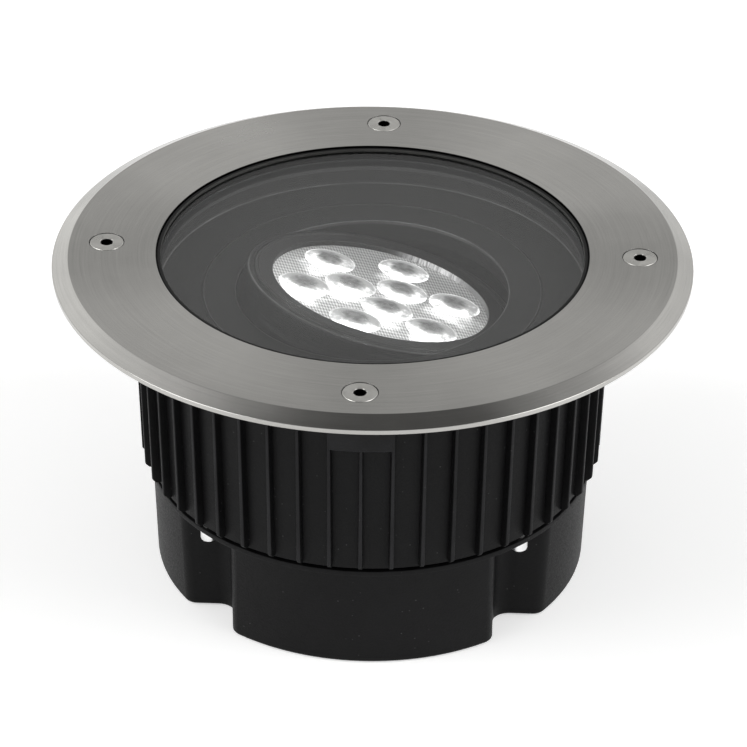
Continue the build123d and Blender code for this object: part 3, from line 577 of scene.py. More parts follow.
def painted(name, colour, roughness, place=None, depth=0.00002, lines=900.0, highlight_radii=(), ringed=0.0):
    """Dark satin paint over a turned part: rings round its axis, dust, painted highlights along edges at
    the given radii, painted shade towards the pan's outer wall.
    """
    look = Look(name, colour, roughness, place, Specular_IOR_Level=0.2)
    marks = look.group(turning_marks, Vector=look.local, Lines_per_metre=lines, Length=1.2)
    grain = look.group(powder_grain, Vector=look.where, Grains_per_metre=1800.0, Specks=0.35)
    tone = (marks["Broad"] + grain["Cloud"]).remap(0.7, 1.3)
    paint = look.blend(tone, shade(colour, 0.82), shade(colour, 1.2))
    x, y, _ = look.split(look.local)
    radius = look.length(x, y)
    # painted shade: the paint turns near black towards the outer wall, from 71.5 to 74.2 mm out
    paint = look.blend(radius.remap(71.5 * MM, 74.2 * MM, 0.0, 0.8), paint, grey(0.0))
    # painted highlights: a thin pale line along the rounded edge at each given radius
    for edge in highlight_radii:
        line = abs(radius - edge * MM).remap(0.1 * MM, 0.3 * MM, 1.0, 0.0)
        paint = look.blend(line * grain["Cloud"].remap(0.35, 0.65, 0.35, 1.0), paint, grey(0.1))
    scratches = marks["Streaks"].remap(0.5, 0.72, 0.0, ringed)
    paint = look.blend(scratches * marks["Broad"].remap(0.4, 0.6, 0.2, 1.0), paint, grey(0.12))
    look.set(Base_Color=look.blend(grain["Speck"] * 0.5, paint, (0.35, 0.35, 0.34)),
             Roughness=marks["Streaks"].remap(0.3, 0.7, roughness - 0.07, roughness + 0.07))
    look.bump(marks["Streaks"], depth)
    return look.material


def powder_coated(name, colour, roughness):
    """Fine-textured black powder coat, with a painted highlight along the fins' tips."""
    look = Look(name, colour, roughness, Specular_IOR_Level=0.12)
    grain = look.group(powder_grain, Vector=look.where, Grains_per_metre=1500.0, Specks=2.4)
    coat = look.blend(grain["Cloud"].remap(0.3, 0.7), shade(colour, 0.8), shade(colour, 1.3))
    x, y, z = look.split(look.where)
    # painted highlight: a paler line along each fin's tip, whose radius grows with height
    tip = z.remap(42.6 * MM, 102.0 * MM, 80.9 * MM, FIN_REACH * MM)
    painted_highlight = abs(tip - look.length(x, y)).remap(0.1 * MM, 0.35 * MM, 1.0, 0.0) * z.below(101.0 * MM)
    coat = look.blend(painted_highlight * grain["Cloud"].remap(0.35, 0.6, 0.4, 1.0), coat, shade(colour, 4.0))
    look.set(Base_Color=look.blend(grain["Speck"], coat, grey(0.07)),
             Roughness=grain["Grain"].remap(0.3, 0.7, roughness - 0.08, roughness + 0.1))
    look.bump(grain["Grain"], 0.00007)
    return look.material


def moulded(name, colour, roughness, grain_size=1400.0, depth=0.00003):
    """Moulded plastic or rubber with a fine skin and slight patches."""
    look = Look(name, colour, roughness)
    grain = look.group(powder_grain, Vector=look.where, Grains_per_metre=grain_size, Specks=0.2)
    tone = grain["Cloud"].remap(0.3, 0.7)
    look.set(Base_Color=look.blend(tone, shade(colour, 0.86), shade(colour, 1.14)),
             Roughness=grain["Cloud"].remap(0.3, 0.7, roughness - 0.05, roughness + 0.08))
    look.bump(grain["Grain"], depth)
    return look.material


def beaded_rubber(name, colour, roughness, bead):
    """Black rubber, with a painted highlight inside the radius of its bead, over the glass."""
    look = Look(name, colour, roughness, Specular_IOR_Level=0.2)
    grain = look.group(powder_grain, Vector=look.where, Grains_per_metre=1400.0, Specks=0.2)
    x, y, z = look.split(look.where)
    # painted highlight: paler inside the bead's radius, above the glass
    painted_highlight = look.length(x, y).remap(bead, bead + 0.05 * MM, 1.0, 0.0)
    painted_highlight = painted_highlight * grain["Cloud"].remap(0.3, 0.7, 0.7, 1.0) * z.above(GLASS_TOP)
    look.set(Base_Color=look.blend(painted_highlight, colour, (0.05, 0.05, 0.048)),
             Roughness=grain["Grain"].remap(0.3, 0.7, roughness - 0.05, roughness + 0.08))
    look.bump(grain["Grain"], 0.00003)
    return look.material


def metal_part(name, colour, roughness, socket=0.0):
    """Small bare or plated metal part with light scuffs. A trim screw's socket has painted shade, near
    black.
    """
    look = Look(name, colour, roughness, Metallic=1.0)
    patches = look.group(smears, Vector=look.where, Size=160.0)["Patches"]
    metal = look.blend(patches.remap(0.3, 0.7), shade(colour, 0.85), shade(colour, 1.1))
    # painted shade: near black inside a trim screw's socket
    recess = look.group(recesses, Vector=look.where, Reach=socket, Height=119.35 * MM)["Mask"]
    look.set(Base_Color=look.blend(recess, metal, grey(DARK)),
             Roughness=patches.remap(0.3, 0.7, roughness - 0.06, roughness + 0.1))
    look.bump(patches, 0.00002)
    return look.material


def clear_glass(name, colour, ior):
    """Clear glass that lets the lamps through to what lies under it."""
    look = Look(name, colour, 0.0, Transmission_Weight=1.0, IOR=ior)
    patches = look.group(smears, Vector=look.where, Size=30.0)["Patches"]
    look.set(Roughness=patches.remap(0.4, 0.75, 0.0, 0.03))
    through = look.fill(look.node("ShaderNodeBsdfTransparent"), Color=(0.96, 0.98, 0.97, 1.0))
    shadow = look.fill(look.node("ShaderNodeLightPath"), output="Is Shadow Ray")
    look.output(look.fill(look.node("ShaderNodeMixShader"), shadow, look.fill(look.shader), through))
    return look.material


def lens_plate_finish(name, spacing, glow):
    """Finely cross-ruled clear plate with the LEDs' light painted on as a glow, unevenly bright."""
    look = Look(name, grey(0.30), 0.28, HEAD_FRAME)
    x, y, _ = look.split(look.local)
    bent = (look.noise(look.local, 260.0, detail=2.0) - 0.5) * (spacing * 0.5)
    rules = []
    for bearing, coarseness, share in RULES:
        turn = radians(bearing)
        phase = (x * cos(turn) + y * sin(turn) + bent) * (tau / spacing / coarseness)
        rules.append(look.math("SINE", phase) * share)
    weave = rules[0] + rules[1] + rules[2]
    # painted light: the glow is brighter on one side and pools round each lens
    lit = (x * -0.55 + y * 0.75).remap(-0.026, 0.024, smooth=True)
    flat = look.combine(x, y, 0.0)
    nearest = 1.0
    for centre_x, centre_y in lens_centres():
        spill = (centre_x + SPILL.x, centre_y + SPILL.y, 0.0)
        nearest = look.math("MINIMUM", look.vector("DISTANCE", flat, spill), nearest)
    cloud = look.noise(look.local, 120.0, detail=5.0, roughness=0.7)
    edge = nearest + cloud.remap(0.3, 0.7, 6.0 * MM, -4.0 * MM)
    pools = edge.remap(1.5 * MM, 11.5 * MM, 0.85, 0.0, smooth=True) * lit.remap(0.0, 1.0, 0.4, 1.1)
    level = (lit * 0.17 + 0.06) * weave.remap(-0.7, 0.7, 0.4, 1.7)
    look.shine((level + pools * weave.remap(-0.9, 0.9, 0.6, 1.2)) * glow)
    look.set(Base_Color=look.blend(weave.remap(-0.6, 0.6), grey(0.09), grey(0.40)))
    look.bump(weave, 0.00004)
    return look.material


def lens_cap_finish(name, glow):
    """One lens over its LED, on the cap's own UV, its light painted as a glow: a dark heart in a broken
    bright ring.
    """
    look = Look(name, grey(0.25), 0.08, HEAD_FRAME)
    uv = look.fill(look.node("ShaderNodeUVMap", uv_map="lens"))
    u, v, _ = look.split(look.vector("SUBTRACT", uv, (0.5, 0.5, 0.0)))
    jitter = look.noise(look.local, 420.0, detail=3.0, roughness=0.6)
    shift = (jitter - 0.5) * 0.16
    radius = look.length(u, v) + shift * 0.5
    heart = look.length(u - 0.075, (v + 0.02) * 1.1) + shift
    dark = heart.remap(0.14, 0.38, 1.0, 0.0, smooth=True)
    uneven = look.noise(look.local, 130.0, detail=4.0, roughness=0.6).remap(0.3, 0.7, -0.22, 0.22)
    # painted light: the bright ring is brighter on one side and has a thin bright rim, and the heart glows
    # less
    side = (u * -0.74 + v * 0.67 + uneven).remap(-0.18, 0.40, 0.0, 0.8, smooth=True)
    patchy = look.noise(look.local, 260.0, detail=4.0, roughness=0.65).remap(0.36, 0.6, 0.2, 1.3)
    bright = radius.remap(0.18, 0.34, smooth=True) * side * patchy
    rim = radius.remap(0.44, 0.475, 0.0, 0.2) * patchy
    look.shine(((bright + rim) * glow + 0.20) * dark.remap(0.0, 1.0, 1.0, 0.35))
    heart_tone = look.blend(jitter.remap(0.35, 0.65), grey(0.10), grey(0.24))
    look.set(Base_Color=look.blend(dark, grey(0.40), heart_tone))
    look.bump(jitter, 0.00012)
    return look.material


def bezel_finish(name, colour, glow):
    """Painted bezel whose low inner wall has the LEDs' light painted on as a glow, in fine upright streaks.
    """
    look = Look(name, colour, 0.42, HEAD_FRAME)
    x, y, z = look.split(look.local)
    wall = look.length(x, y).remap((BEZEL_OPENING + 0.1) * MM, (BEZEL_OPENING + 0.35) * MM, 1.0, 0.0)
    angle = look.math("ARCTAN2", y, x)
    strands = look.noise(look.combine(angle * 60.0, z * 120.0, 0.0), 1.0, detail=3.0, roughness=0.7)
    # painted light: a bright patch of streaks and a fainter band on the inner wall
    lit = abs(angle + 1.08).remap(0.1, 0.46, 1.0, 0.0, smooth=True)
    band = abs(angle + 1.4).remap(0.3, 0.9, 0.3, 0.0, smooth=True)
    look.shine((wall * lit * strands.remap(0.35, 0.62, 0.05, 1.0) + wall * band) * glow)
    marks = look.group(turning_marks, Vector=look.local, Lines_per_metre=2600.0, Length=1.0)
    tone = marks["Broad"].remap(0.3, 0.7)
    look.set(Base_Color=look.blend(tone, shade(colour, 0.8), shade(colour, 1.25)))
    look.bump(marks["Streaks"], 0.00002)
    return look.material


def lens_centres():
    """Centres of the nine lenses in the head's own frame."""
    for count, radius, start in LENS_CIRCLES:
        for i in range(count):
            angle = radians(start + 360.0 * i / count)
            yield radius * MM * cos(angle), radius * MM * sin(angle)


# ------------------------------------------------------------------ Geometry Nodes

def item_group(name, *inputs):
    """Geometry group with an item, inputs of its own and the item's material."""
    inputs = [("Item", "Object", None), *inputs, ("Material", "Material", None)]
    return new_group(name, "Geometry", inputs, [("Geometry", "Geometry")])


def spread(tree, given, out, position, rotation):
    """Puts the item on points, makes it real and gives it its material."""
    points = tree.fill(tree.node("GeometryNodePoints"), Count=given["Count"], Position=position)
    item = tree.node("GeometryNodeObjectInfo", transform_space="ORIGINAL")
    item = tree.fill(item, Object=given["Item"], output="Geometry")
    copies = tree.node("GeometryNodeInstanceOnPoints")
    copies = tree.fill(copies, Points=points, Instance=item, Rotation=rotation)
    real = tree.fill(tree.node("GeometryNodeRealizeInstances"), copies)
    dressed = tree.fill(tree.node("GeometryNodeSetMaterial"), Geometry=real, Material=given["Material"])
    tree.feed(out["Geometry"], dressed)


def items_round_axis():
    """Copies of an item on a circle about Z, its X axis outwards, each turned on itself at random."""
    shared, tree, given, out = item_group(
        "items round an axis", ("Count", "Int", 4), ("Radius", "Float", 0.1), ("Start", "Float", 0.0),
        ("Loose turn", "Float", 0.0))
    index = tree.fill(tree.node("GeometryNodeInputIndex"))
    angle = index * (tau / given["Count"]) + given["Start"]
    place = tree.combine(
        tree.math("COSINE", angle) * given["Radius"], tree.math("SINE", angle) * given["Radius"], 0.0)
    loose = tree.node("FunctionNodeRandomValue", data_type="FLOAT")
    tree.feed(loose.inputs[2], given["Loose turn"] * -1.0)
    tree.feed(loose.inputs[3], given["Loose turn"])
    turn = angle + tree.fill(loose, Seed=7, output=1)
    spread(tree, given, out, place, tree.combine(0.0, 0.0, turn))
    return shared


def items_in_row():
    """Copies of an item side by side along X, centred."""
    shared, tree, given, out = item_group(
        "items in a row", ("Count", "Int", 9), ("Pitch", "Float", 0.0076))
    index = tree.fill(tree.node("GeometryNodeInputIndex"))
    along = (index + (given["Count"] - 1.0) * -0.5) * given["Pitch"]
    spread(tree, given, out, tree.combine(along, 0.0, 0.0), tree.combine(0.0, 0.0, 0.0))
    return shared


def grown(name, maker, item, **values):
    """Runs a geometry group over an item and returns the plain mesh object that it makes."""
    whole = new_object(name, bpy.data.meshes.new(name))
    modifier = whole.modifiers.new(name, "NODES")
    modifier.node_group = shared_group(maker)
    entries = {"Item": item, **{key.replace("_", " "): value for key, value in values.items()}}
    for socket in modifier.node_group.interface.items_tree:
        if socket.in_out == "INPUT":
            modifier[socket.identifier] = entries[socket.name]
    settle(whole)
    bpy.data.objects.remove(item)
    return whole


def round_axis(name, item, count, radius, look, start=0.0, loose=0.0):
    """Copies of an item on a circle: radius in millimetres, start in degrees."""
    return grown(name, items_round_axis, item, Count=count, Radius=radius * MM, Start=radians(start),
                 Loose_turn=loose, Material=finish(look))


# ------------------------------------------------------------------ what a user can change

def length(name, description, default, least, most):
    """Property for a length, its numbers in millimetres."""
    return FloatProperty(name=name, description=description, default=default * MM, min=least * MM,
                         max=most * MM, unit="LENGTH", subtype="DISTANCE")


def colour(name, description, default):
    return FloatVectorProperty(name=name, description=description, default=default, subtype="COLOR",
                               size=3, min=0, max=1)


class WellLightSizes(bpy.types.PropertyGroup):
    """Sizes of the details that are modelled here. Main sizes come from the CAD model."""

    ring_rounding: length("Ring edges", "Rounding along the trim ring's outer edges", 0.35, 0.05, 0.6)
    countersink_gap: length("Screw gap", "Gap round the head of each trim screw", 0.22, 0.02, 0.4)
    socket_flats: length(
        "Screw socket", "Across the flats of the hexagon socket in a trim screw", 3.7, 2.5, 5.0)
    fin_count: IntProperty(name="Fins", description="Fins round the body", default=48, min=12, max=96)
    fin_width: length("Fin width", "Thickness of one fin", 1.7, 0.8, 3)
    casting_rounding: length("Casting edges", "Rounding along the finned body's edges", 0.35, 0.1, 0.8)
    ruling: length("Lens ruling", "Distance between the fine lines across the lens plate", 1.05, 0.3, 2)


class WellLightColours(bpy.types.PropertyGroup):
    """Colours and brightness of the finishes."""

    steel: colour("Stainless steel", "Trim ring", (0.64, 0.63, 0.605))
    screws: colour("Trim screws", "Heads of the trim screws", (0.68, 0.67, 0.64))
    zinc: colour("Zinc", "Bright plated small screws", (0.86, 0.86, 0.86))
    coat: colour("Powder coat", "Finned body and lobed housing", (0.0045, 0.0045, 0.0048))
    paint: colour("Dark paint", "Pan, turning ring and head", (0.006, 0.006, 0.006))
    rubber: colour("Rubber", "Gaskets", (0.014, 0.014, 0.014))
    plastic: colour("Black plastic", "Seat ring, lens holder and cable gland", (0.016, 0.016, 0.017))
    lens_glow: FloatProperty(
        name="Lens glow", description="Brightness of the lit lenses", default=1.6, min=0, max=5)


def sizes():
    return bpy.context.scene.well_light_sizes


FINISHES = {}


def finish(slot):
    """The material of one slot, made on first use."""
    if slot not in FINISHES:
        hues = bpy.context.scene.well_light_colours
        makers = {
            "brushed_stainless": lambda: brushed_steel("brushed stainless", hues.steel, 0.22),
            "screw_steel": lambda: metal_part("screw steel", hues.screws, 0.3, socket=2.7 * MM),
            "zinc_screws": lambda: metal_part("bright zinc", hues.zinc, 0.34),
            "spring_steel": lambda: metal_part("spring steel", (0.30, 0.30, 0.31), 0.35),
            "clear_glass": lambda: clear_glass("clear glass", grey(1.0), ior=1.45),
            "black_rubber": lambda: moulded("black rubber", hues.rubber, 0.5),
            # painted shade: the gasket's rubber is darker than the other rubber, for its groove under the
            # ring's lip
            "gasket_rubber": lambda: beaded_rubber(
                "gasket rubber", shade(hues.rubber, 0.4), 0.5, bead=72.85 * MM),
            "black_plastic": lambda: moulded("black plastic", hues.plastic, 0.55),
            "dark_paint": lambda: painted("dark paint", hues.paint, 0.5, highlight_radii=(73.9,)),
            "turned_paint": lambda: painted(
                "turned paint", hues.paint, 0.45, TURNED_FRAME, highlight_radii=(47.2, 58.3), ringed=0.06),
            "ball_paint": lambda: painted(
                "ball paint", hues.paint, 0.42, HEAD_FRAME, 0.00006, 700.0, highlight_radii=(46.9,), ringed=0.35),
            "bezel_paint": lambda: bezel_finish("bezel paint", hues.paint, hues.lens_glow * 0.4),
            "black_powder_coat": lambda: powder_coated("black powder coat", hues.coat, 0.48),
            "driver_case": lambda: moulded("driver case", grey(0.55), 0.45),
            "terminal_plastic": lambda: moulded(
                "terminal plastic", (0.75, 0.75, 0.72), 0.3, 900.0, 0.00001),
            "gland_plastic": lambda: moulded("gland plastic", hues.plastic, 0.42),
            "clear_lens": lambda: lens_plate_finish("ruled lens", sizes().ruling, hues.lens_glow),
            "lens_cap": lambda: lens_cap_finish("lens caps", hues.lens_glow * 1.5),
            "board_white": lambda: moulded("board", (0.72, 0.72, 0.70), 0.35, 600.0, 0.00001),
            "led_yellow": lambda: moulded("LED phosphor", (0.85, 0.72, 0.30), 0.3, 3000.0, 0.00001),
            "bare_aluminium": lambda: metal_part("bare aluminium", (0.60, 0.60, 0.61), 0.42),
            "washer_nylon": lambda: moulded("washer nylon", (0.72, 0.72, 0.68), 0.5),
        }
        FINISHES[slot] = makers[slot]()
    return FINISHES[slot]


# ------------------------------------------------------------------ operators, one for each piece

class PieceOperator:
    """Common to every operator."""

    bl_options = {"REGISTER", "UNDO"}


def rings(sides, *pairs):
    """Round loops through (radius, height) pairs in millimetres."""
    return [round_ring(radius * MM, height * MM, sides) for radius, height in pairs]


class WELLLIGHT_OT_trim_ring(PieceOperator, bpy.types.Operator):
    """Turned stainless ring with a bevelled edge and four countersunk holes"""

    bl_idname = "well_light.trim_ring"
    bl_label = "Trim ring"

    def execute(self, context):
        edge = sizes().ring_rounding / MM
        reach = TRIM_HEAD + sizes().countersink_gap / MM / 2
        ring = lathe(
            "trim_ring_steel", (74.3, LIP, 0.08), (74.3, 119.5, 0.22), (104.4, 119.5, 0.6),
            (110.0, 116.7, edge), (110.0, 115.0, edge), (107.6, 115.0, 0.2), (106.1, FLANGE_TOP, 0.3),
            (MOUTH, FLANGE_TOP, 0.1), (MOUTH, LIP, 0.1))
        hole = (
            (0, 114), (3.1, 114), (3.1, FLANGE_TOP), (reach, 119.4), (reach + 0.9, 120.3), (0, 120.3))
        cut(ring, *[
            placed(lathe("hole", *hole, sides=64), on_circle(SCREW_CIRCLE, 90 * i)) for i in range(4)])
        finished(ring, "housing", "brushed_stainless", "trim_ring", crease=24)
        return {"FINISHED"}


class WELLLIGHT_OT_trim_screws(PieceOperator, bpy.types.Operator):
    """Four flush countersunk screws with hexagon sockets"""

    bl_idname = "well_light.trim_screws"
    bl_label = "Trim screws"

    def execute(self, context):
        sides = 48
        flats = sizes().socket_flats
        head = (TRIM_HEAD - sizes().countersink_gap / MM / 2) * MM
        top = RING_TOP - 0.04 * MM
        outline = (
            (2.5 * MM, RING_TOP - 12 * MM), (2.9 * MM, RING_TOP - 11.5 * MM),
            (2.9 * MM, RING_TOP - 3.0 * MM), (head, top - 0.25 * MM), (head, top - 0.1 * MM),
            (head - 0.12 * MM, top), (flats * 0.64, top))
        loops = [round_ring(radius, height, sides) for radius, height in outline] + [
            hexagon_ring(flats, top - 0.28 * MM, sides),
            hexagon_ring(flats, top - 2.2 * MM, sides),
            round_ring(flats * 0.42, top - 2.2 * MM, sides),
            round_ring(0.1 * MM, top - 2.9 * MM, sides)]
        screws = round_axis(
            "trim_screws_steel", lofted("screw", loops), 4, SCREW_CIRCLE, "screw_steel", loose=0.5)
        finished(screws, "housing", "screw_steel", "trim_screws", crease=30)
        return {"FINISHED"}


class WELLLIGHT_OT_cover_glass(PieceOperator, bpy.types.Operator):
    """Thick clear disc with ground edges"""

    bl_idname = "well_light.cover_glass"
    bl_label = "Cover glass"

    def execute(self, context):
        glass = lathe(
            "cover_glass_clear", (0, GLASS_FOOT), (76.4, GLASS_FOOT, 0.5), (76.4, GLASS_FACE, 0.5),
            (0, GLASS_FACE), steps=2)
        finished(glass, "housing", "clear_glass", "cover_glass", crease=20)
        return {"FINISHED"}


class WELLLIGHT_OT_glass_gasket(PieceOperator, bpy.types.Operator):
    """Rubber channel round the edge of the glass, with a beaded upper lip"""

    bl_idname = "well_light.glass_gasket"
    bl_label = "Glass gasket"

    def execute(self, context):
        gasket = lathe(
            "glass_gasket_rubber", (72.6, GLASS_FACE, 0.1), (72.6, 119.0, 0.35), (73.9, 119.0, 0.2),
            (73.95, 118.3, 0.05), (74.25, 118.3, 0.05), (74.4, LIP, 0.05), (STACK, LIP, 0.3),
            (STACK, GASKET_FOOT, 0.3), (73.4, GASKET_FOOT, 0.2), (73.4, GLASS_FOOT, 0.2),
            (76.5, GLASS_FOOT, 0.1), (76.5, GLASS_FACE, 0.1), steps=2)
        finished(gasket, "housing", "black_rubber", "glass_gasket", look="gasket_rubber")
        return {"FINISHED"}


class WELLLIGHT_OT_seat_ring(PieceOperator, bpy.types.Operator):
    """Black ring that carries the glass and its gasket"""

    bl_idname = "well_light.seat_ring"
    bl_label = "Glass seat ring"

    def execute(self, context):
        ring = lathe(
            "glass_seat_ring_black", (73.0, SEAT_FOOT, 0.3), (STACK, SEAT_FOOT, 0.3),
            (STACK, GASKET_FOOT, 0.3), (73.0, GASKET_FOOT, 0.5), steps=3)
        finished(ring, "housing", "black_plastic", "glass_seat_ring")
        return {"FINISHED"}


class WELLLIGHT_OT_baffle(PieceOperator, bpy.types.Operator):
    """Dark pressed pan under the glass, with the turning ring's seat in its middle"""

    bl_idname = "well_light.baffle"
    bl_label = "Pan"

    def execute(self, context):
        pan = lathe(
            "baffle_painted", (74.5, SEAT_FOOT, 0.4), (STACK, SEAT_FOOT, 0.2), (STACK, LEDGE, 0.2),
            (75.3, LEDGE, 0.2), (75.3, 98.3, 0.8), (51.05, 98.3, 0.2), (51.05, 99.5, 0.1),
            (58.85, 99.5, 0.1), (58.85, PAN_FLOOR, 0.35), (74.5, PAN_FLOOR, 1.2))
        peg = lathe("peg", (0, 93.8), (1.5, 93.8, 0.4), (1.5, 98.4), (0, 98.4), sides=24)
        placed(peg, Matrix.Rotation(HEAD_AIM + pi / 2, 4, "Z") @ Matrix.Translation((55.6 * MM, 0, 0)))
        finished(joined("baffle_painted", pan, peg), "housing", "dark_paint", "baffle")
        return {"FINISHED"}


def pad_mesh(edge):
    """One of the wide pads between the fins, with a sloped foot, its corners rounded."""
    half = radians(7.5)
    slope = ((89.0, 80.7), (89.3, 81.1), (90.2, 82.0), (90.6, 82.25), (FIN_TOP, FIN_REACH))
    loops = []
    for height, reach in slope:
        corner = edge / reach
        arc = [(angle, MOUTH) for angle in (half, 0, -half)]
        arc += [(-half, reach - edge), (-half + corner * 0.3, reach - edge * 0.3)]
        arc += [(-half + corner + (half - corner) * 2 * k / 12, reach) for k in range(13)]
        arc += [(half - corner * 0.3, reach - edge * 0.3), (half, reach - edge)]
        loops.append([
            Vector((radius * MM * cos(angle), radius * MM * sin(angle), height * MM))
            for angle, radius in arc])
    return placed(lofted("pad", loops), Matrix.Translation((-WALL * MM, 0, 0)))


class WELLLIGHT_OT_finned_body(PieceOperator, bpy.types.Operator):
    """Cast body: flange, collar, fins all round, six pads between them, screw bosses inside"""

    bl_idname = "well_light.finned_body"
    bl_label = "Finned body"

    def execute(self, context):
        edge = sizes().casting_rounding / MM
        wall = lathe(
            "finned_body_cast", (0, SEAL_TOP), (78.0, SEAL_TOP, 0.4), (WALL, 99.1, 1.0),
            (FIN_REACH, 102.0, 0.8), (FIN_REACH, 109.5, 1.2), (98.0, 109.5, edge),
            (98.0, FLANGE_TOP, edge), (MOUTH, FLANGE_TOP, 0.3), (MOUTH, LEDGE, 0.2), (75.4, LEDGE, 0.3),
            (75.4, 44.5, 1.5), (0, 44.5))
        bosses = []
        tools = []
        for i in range(4):
            base = on_circle(BASE_CIRCLE, 45 + 90 * i)
            bosses.append(placed(rod(4.5, 44.0, 56.5, sides=40, rounding=0.5), base))
            tools.append(placed(rod(1.95, 39, 52.5), base))
            tools.append(placed(rod(3.0, 108, 118, sides=40), on_circle(SCREW_CIRCLE, 90 * i)))
        tools.append(placed(rod(7.0, 39, 46, sides=64), Matrix.Translation((0.022, 0.030, 0))))
        cut(wall, *tools)
        for boss in bosses:
            cut(boss, sleeve(77.7, 90, 40, 60))

        tip = FIN_REACH - WALL
        corners = ((-2.4, 41.2), (-0.1, 41.2), (1.3, 42.6), (tip, FIN_TOP), (-2.4, FIN_TOP))
        fin = slab("fin", corners, sizes().fin_width / 2, rounding=edge * MM)
        for vertex in fin.data.vertices:
            vertex.co.y *= 1.0 - FIN_TAPER * max(0.0, vertex.co.x) / (tip * MM)
        coat = "black_powder_coat"
        fins = round_axis("finned_body_fins", fin, sizes().fin_count, WALL, coat, start=-90)
        pads = round_axis("finned_body_pads", pad_mesh(edge), 6, WALL, coat, start=-90)
        body = joined("finned_body_cast", joined("finned_body_cast", wall, *bosses), fins, pads)
        finished(body, "housing", coat, "finned_body", crease=38)
        return {"FINISHED"}


class WELLLIGHT_OT_base_gasket(PieceOperator, bpy.types.Operator):
    """Flat seal between the finned body and the lobed housing"""

    bl_idname = "well_light.base_gasket"
    bl_label = "Base gasket"

    def execute(self, context):
        seal = lathe(
            "base_gasket_rubber", (64.0, HOUSING_TOP), (71.6, HOUSING_TOP, 0.2), (71.6, SEAL_TOP, 0.2),
            (64.0, SEAL_TOP), steps=2)
        finished(seal, "housing", "black_rubber", "base_gasket")
        return {"FINISHED"}


def lobe_loop(inset, height):
    """Round loop with a square notch on each diagonal, set in from the lobes' face, in millimetres."""
    reach = LOBE_REACH - LOBE_DRAFT * (FLANGE_FOOT - height) / FLANGE_FOOT - inset
    half = NOTCH_HALF - inset
    inner = 6.0 + inset
    outer = 5.0 - inset
    corner = half + inner
    across = half - outer
    along = sqrt((reach - outer) ** 2 - across ** 2)
    lean = atan2(across, along)
    side = []
    for k in range(7):
        turn = radians(225 + 45 * k / 6)
        side.append((corner + inner * cos(turn), corner + inner * sin(turn)))
    side += [(corner + (along - corner) * k / 3, half) for k in (1, 2)]
    for k in range(9):
        turn = pi / 2 + (lean - pi / 2) * k / 8
        side.append((along + outer * cos(turn), across + outer * sin(turn)))
    side += [(reach * cos(lean * (1 - k / 14)), reach * sin(lean * (1 - k / 14))) for k in range(1, 15)]
    lobe = side + [(x, -y) for x, y in side[-2:0:-1]]
    points = [Matrix.Rotation(-i * pi / 2, 2) @ Vector(point) for i in range(4) for point in lobe]
    return [Vector((p.x * MM, p.y * MM, height * MM)) for p in points]


class WELLLIGHT_OT_lower_housing(PieceOperator, bpy.types.Operator):
    """Cast wiring housing with four lobes, a flange and the boss for the cable gland"""

    bl_idname = "well_light.lower_housing"
    bl_label = "Lobed housing"

    def execute(self, context):
        foot_rounding = 1.2
        outside = [(foot_rounding * (1 - sin(pi / 8 * k)), foot_rounding * (1 - cos(pi / 8 * k)))
                   for k in range(5)]
        outside += [(0.0, 12.0), (0.0, 26.0), (0.0, 37.0), (-0.2, 37.4), (-0.5, FLANGE_FOOT)]
        loops = [lobe_loop(inset, height) for inset, height in outside]
        directions = [Vector(point[:2]) for point in loops[-1]]
        edge = FLANGE_EDGE
        flange = (
            (FLANGE - edge, FLANGE_FOOT), (FLANGE - edge * 0.3, FLANGE_FOOT + edge * 0.3),
            (FLANGE, FLANGE_FOOT + edge), (FLANGE, HOUSING_TOP - edge),
            (FLANGE - edge * 0.3, HOUSING_TOP - edge * 0.3), (FLANGE - edge, HOUSING_TOP),
            (HOUSING_MOUTH + 0.2, HOUSING_TOP), (HOUSING_MOUTH, HOUSING_TOP - 0.2),
            (HOUSING_MOUTH, FLANGE_FOOT + 0.2), (HOUSING_MOUTH + 0.2, FLANGE_FOOT))
        for radius, height in flange:
            loops.append([
                Vector((radius * MM * d.x / d.length, radius * MM * d.y / d.length, height * MM))
                for d in directions])
        inside = ((HOUSING_WALL, FLANGE_FOOT), (HOUSING_WALL, 20.0), (HOUSING_WALL, 4.5), (3.45, 3.45),
                  (4.5, HOUSING_WALL))
        loops += [lobe_loop(inset, height) for inset, height in inside]
        shell = lofted("lower_housing_cast", loops)
        tools = [placed(rod(8.1, -10, 4, sides=64), GLAND_FRAME)]
        tools += [placed(rod(2.0, 36, 41), on_circle(BASE_CIRCLE, 45 + 90 * i)) for i in range(4)]
        cut(shell, *tools)
        boss = lathe(
            "boss", (8.1, -6.6, 0.2), (13.0, -6.6, 0.4), (13.0, 0, 0.4), (8.1, 0, 0.2), sides=96)
        housing = joined("lower_housing_cast", shell, placed(boss, GLAND_FRAME))
        finished(housing, "housing", "black_powder_coat", "lower_housing", crease=40)
        return {"FINISHED"}


class WELLLIGHT_OT_base_screws(PieceOperator, bpy.types.Operator):
    """Four bright cap screws under the flange, one in each notch"""

    bl_idname = "well_light.base_screws"
    bl_label = "Base screws"

    def execute(self, context):
        sides = 48
        loops = rings(sides, (1.5, 51.5), (1.9, 51.1), (1.9, FLANGE_FOOT), (2.85, FLANGE_FOOT),
                      (2.85, 34.9), (2.7, 34.3), (2.3, 34.0), (1.75, 33.9))
        loops += [hexagon_ring(2.5 * MM, height * MM, sides) for height in (34.1, 35.7)]
        screws = round_axis("base_screws_zinc", lofted("screw", loops), 4, BASE_CIRCLE, "zinc_screws",
                            start=45, loose=0.5)
        finished(screws, "housing", "zinc_screws", "base_screws", crease=34)
        return {"FINISHED"}


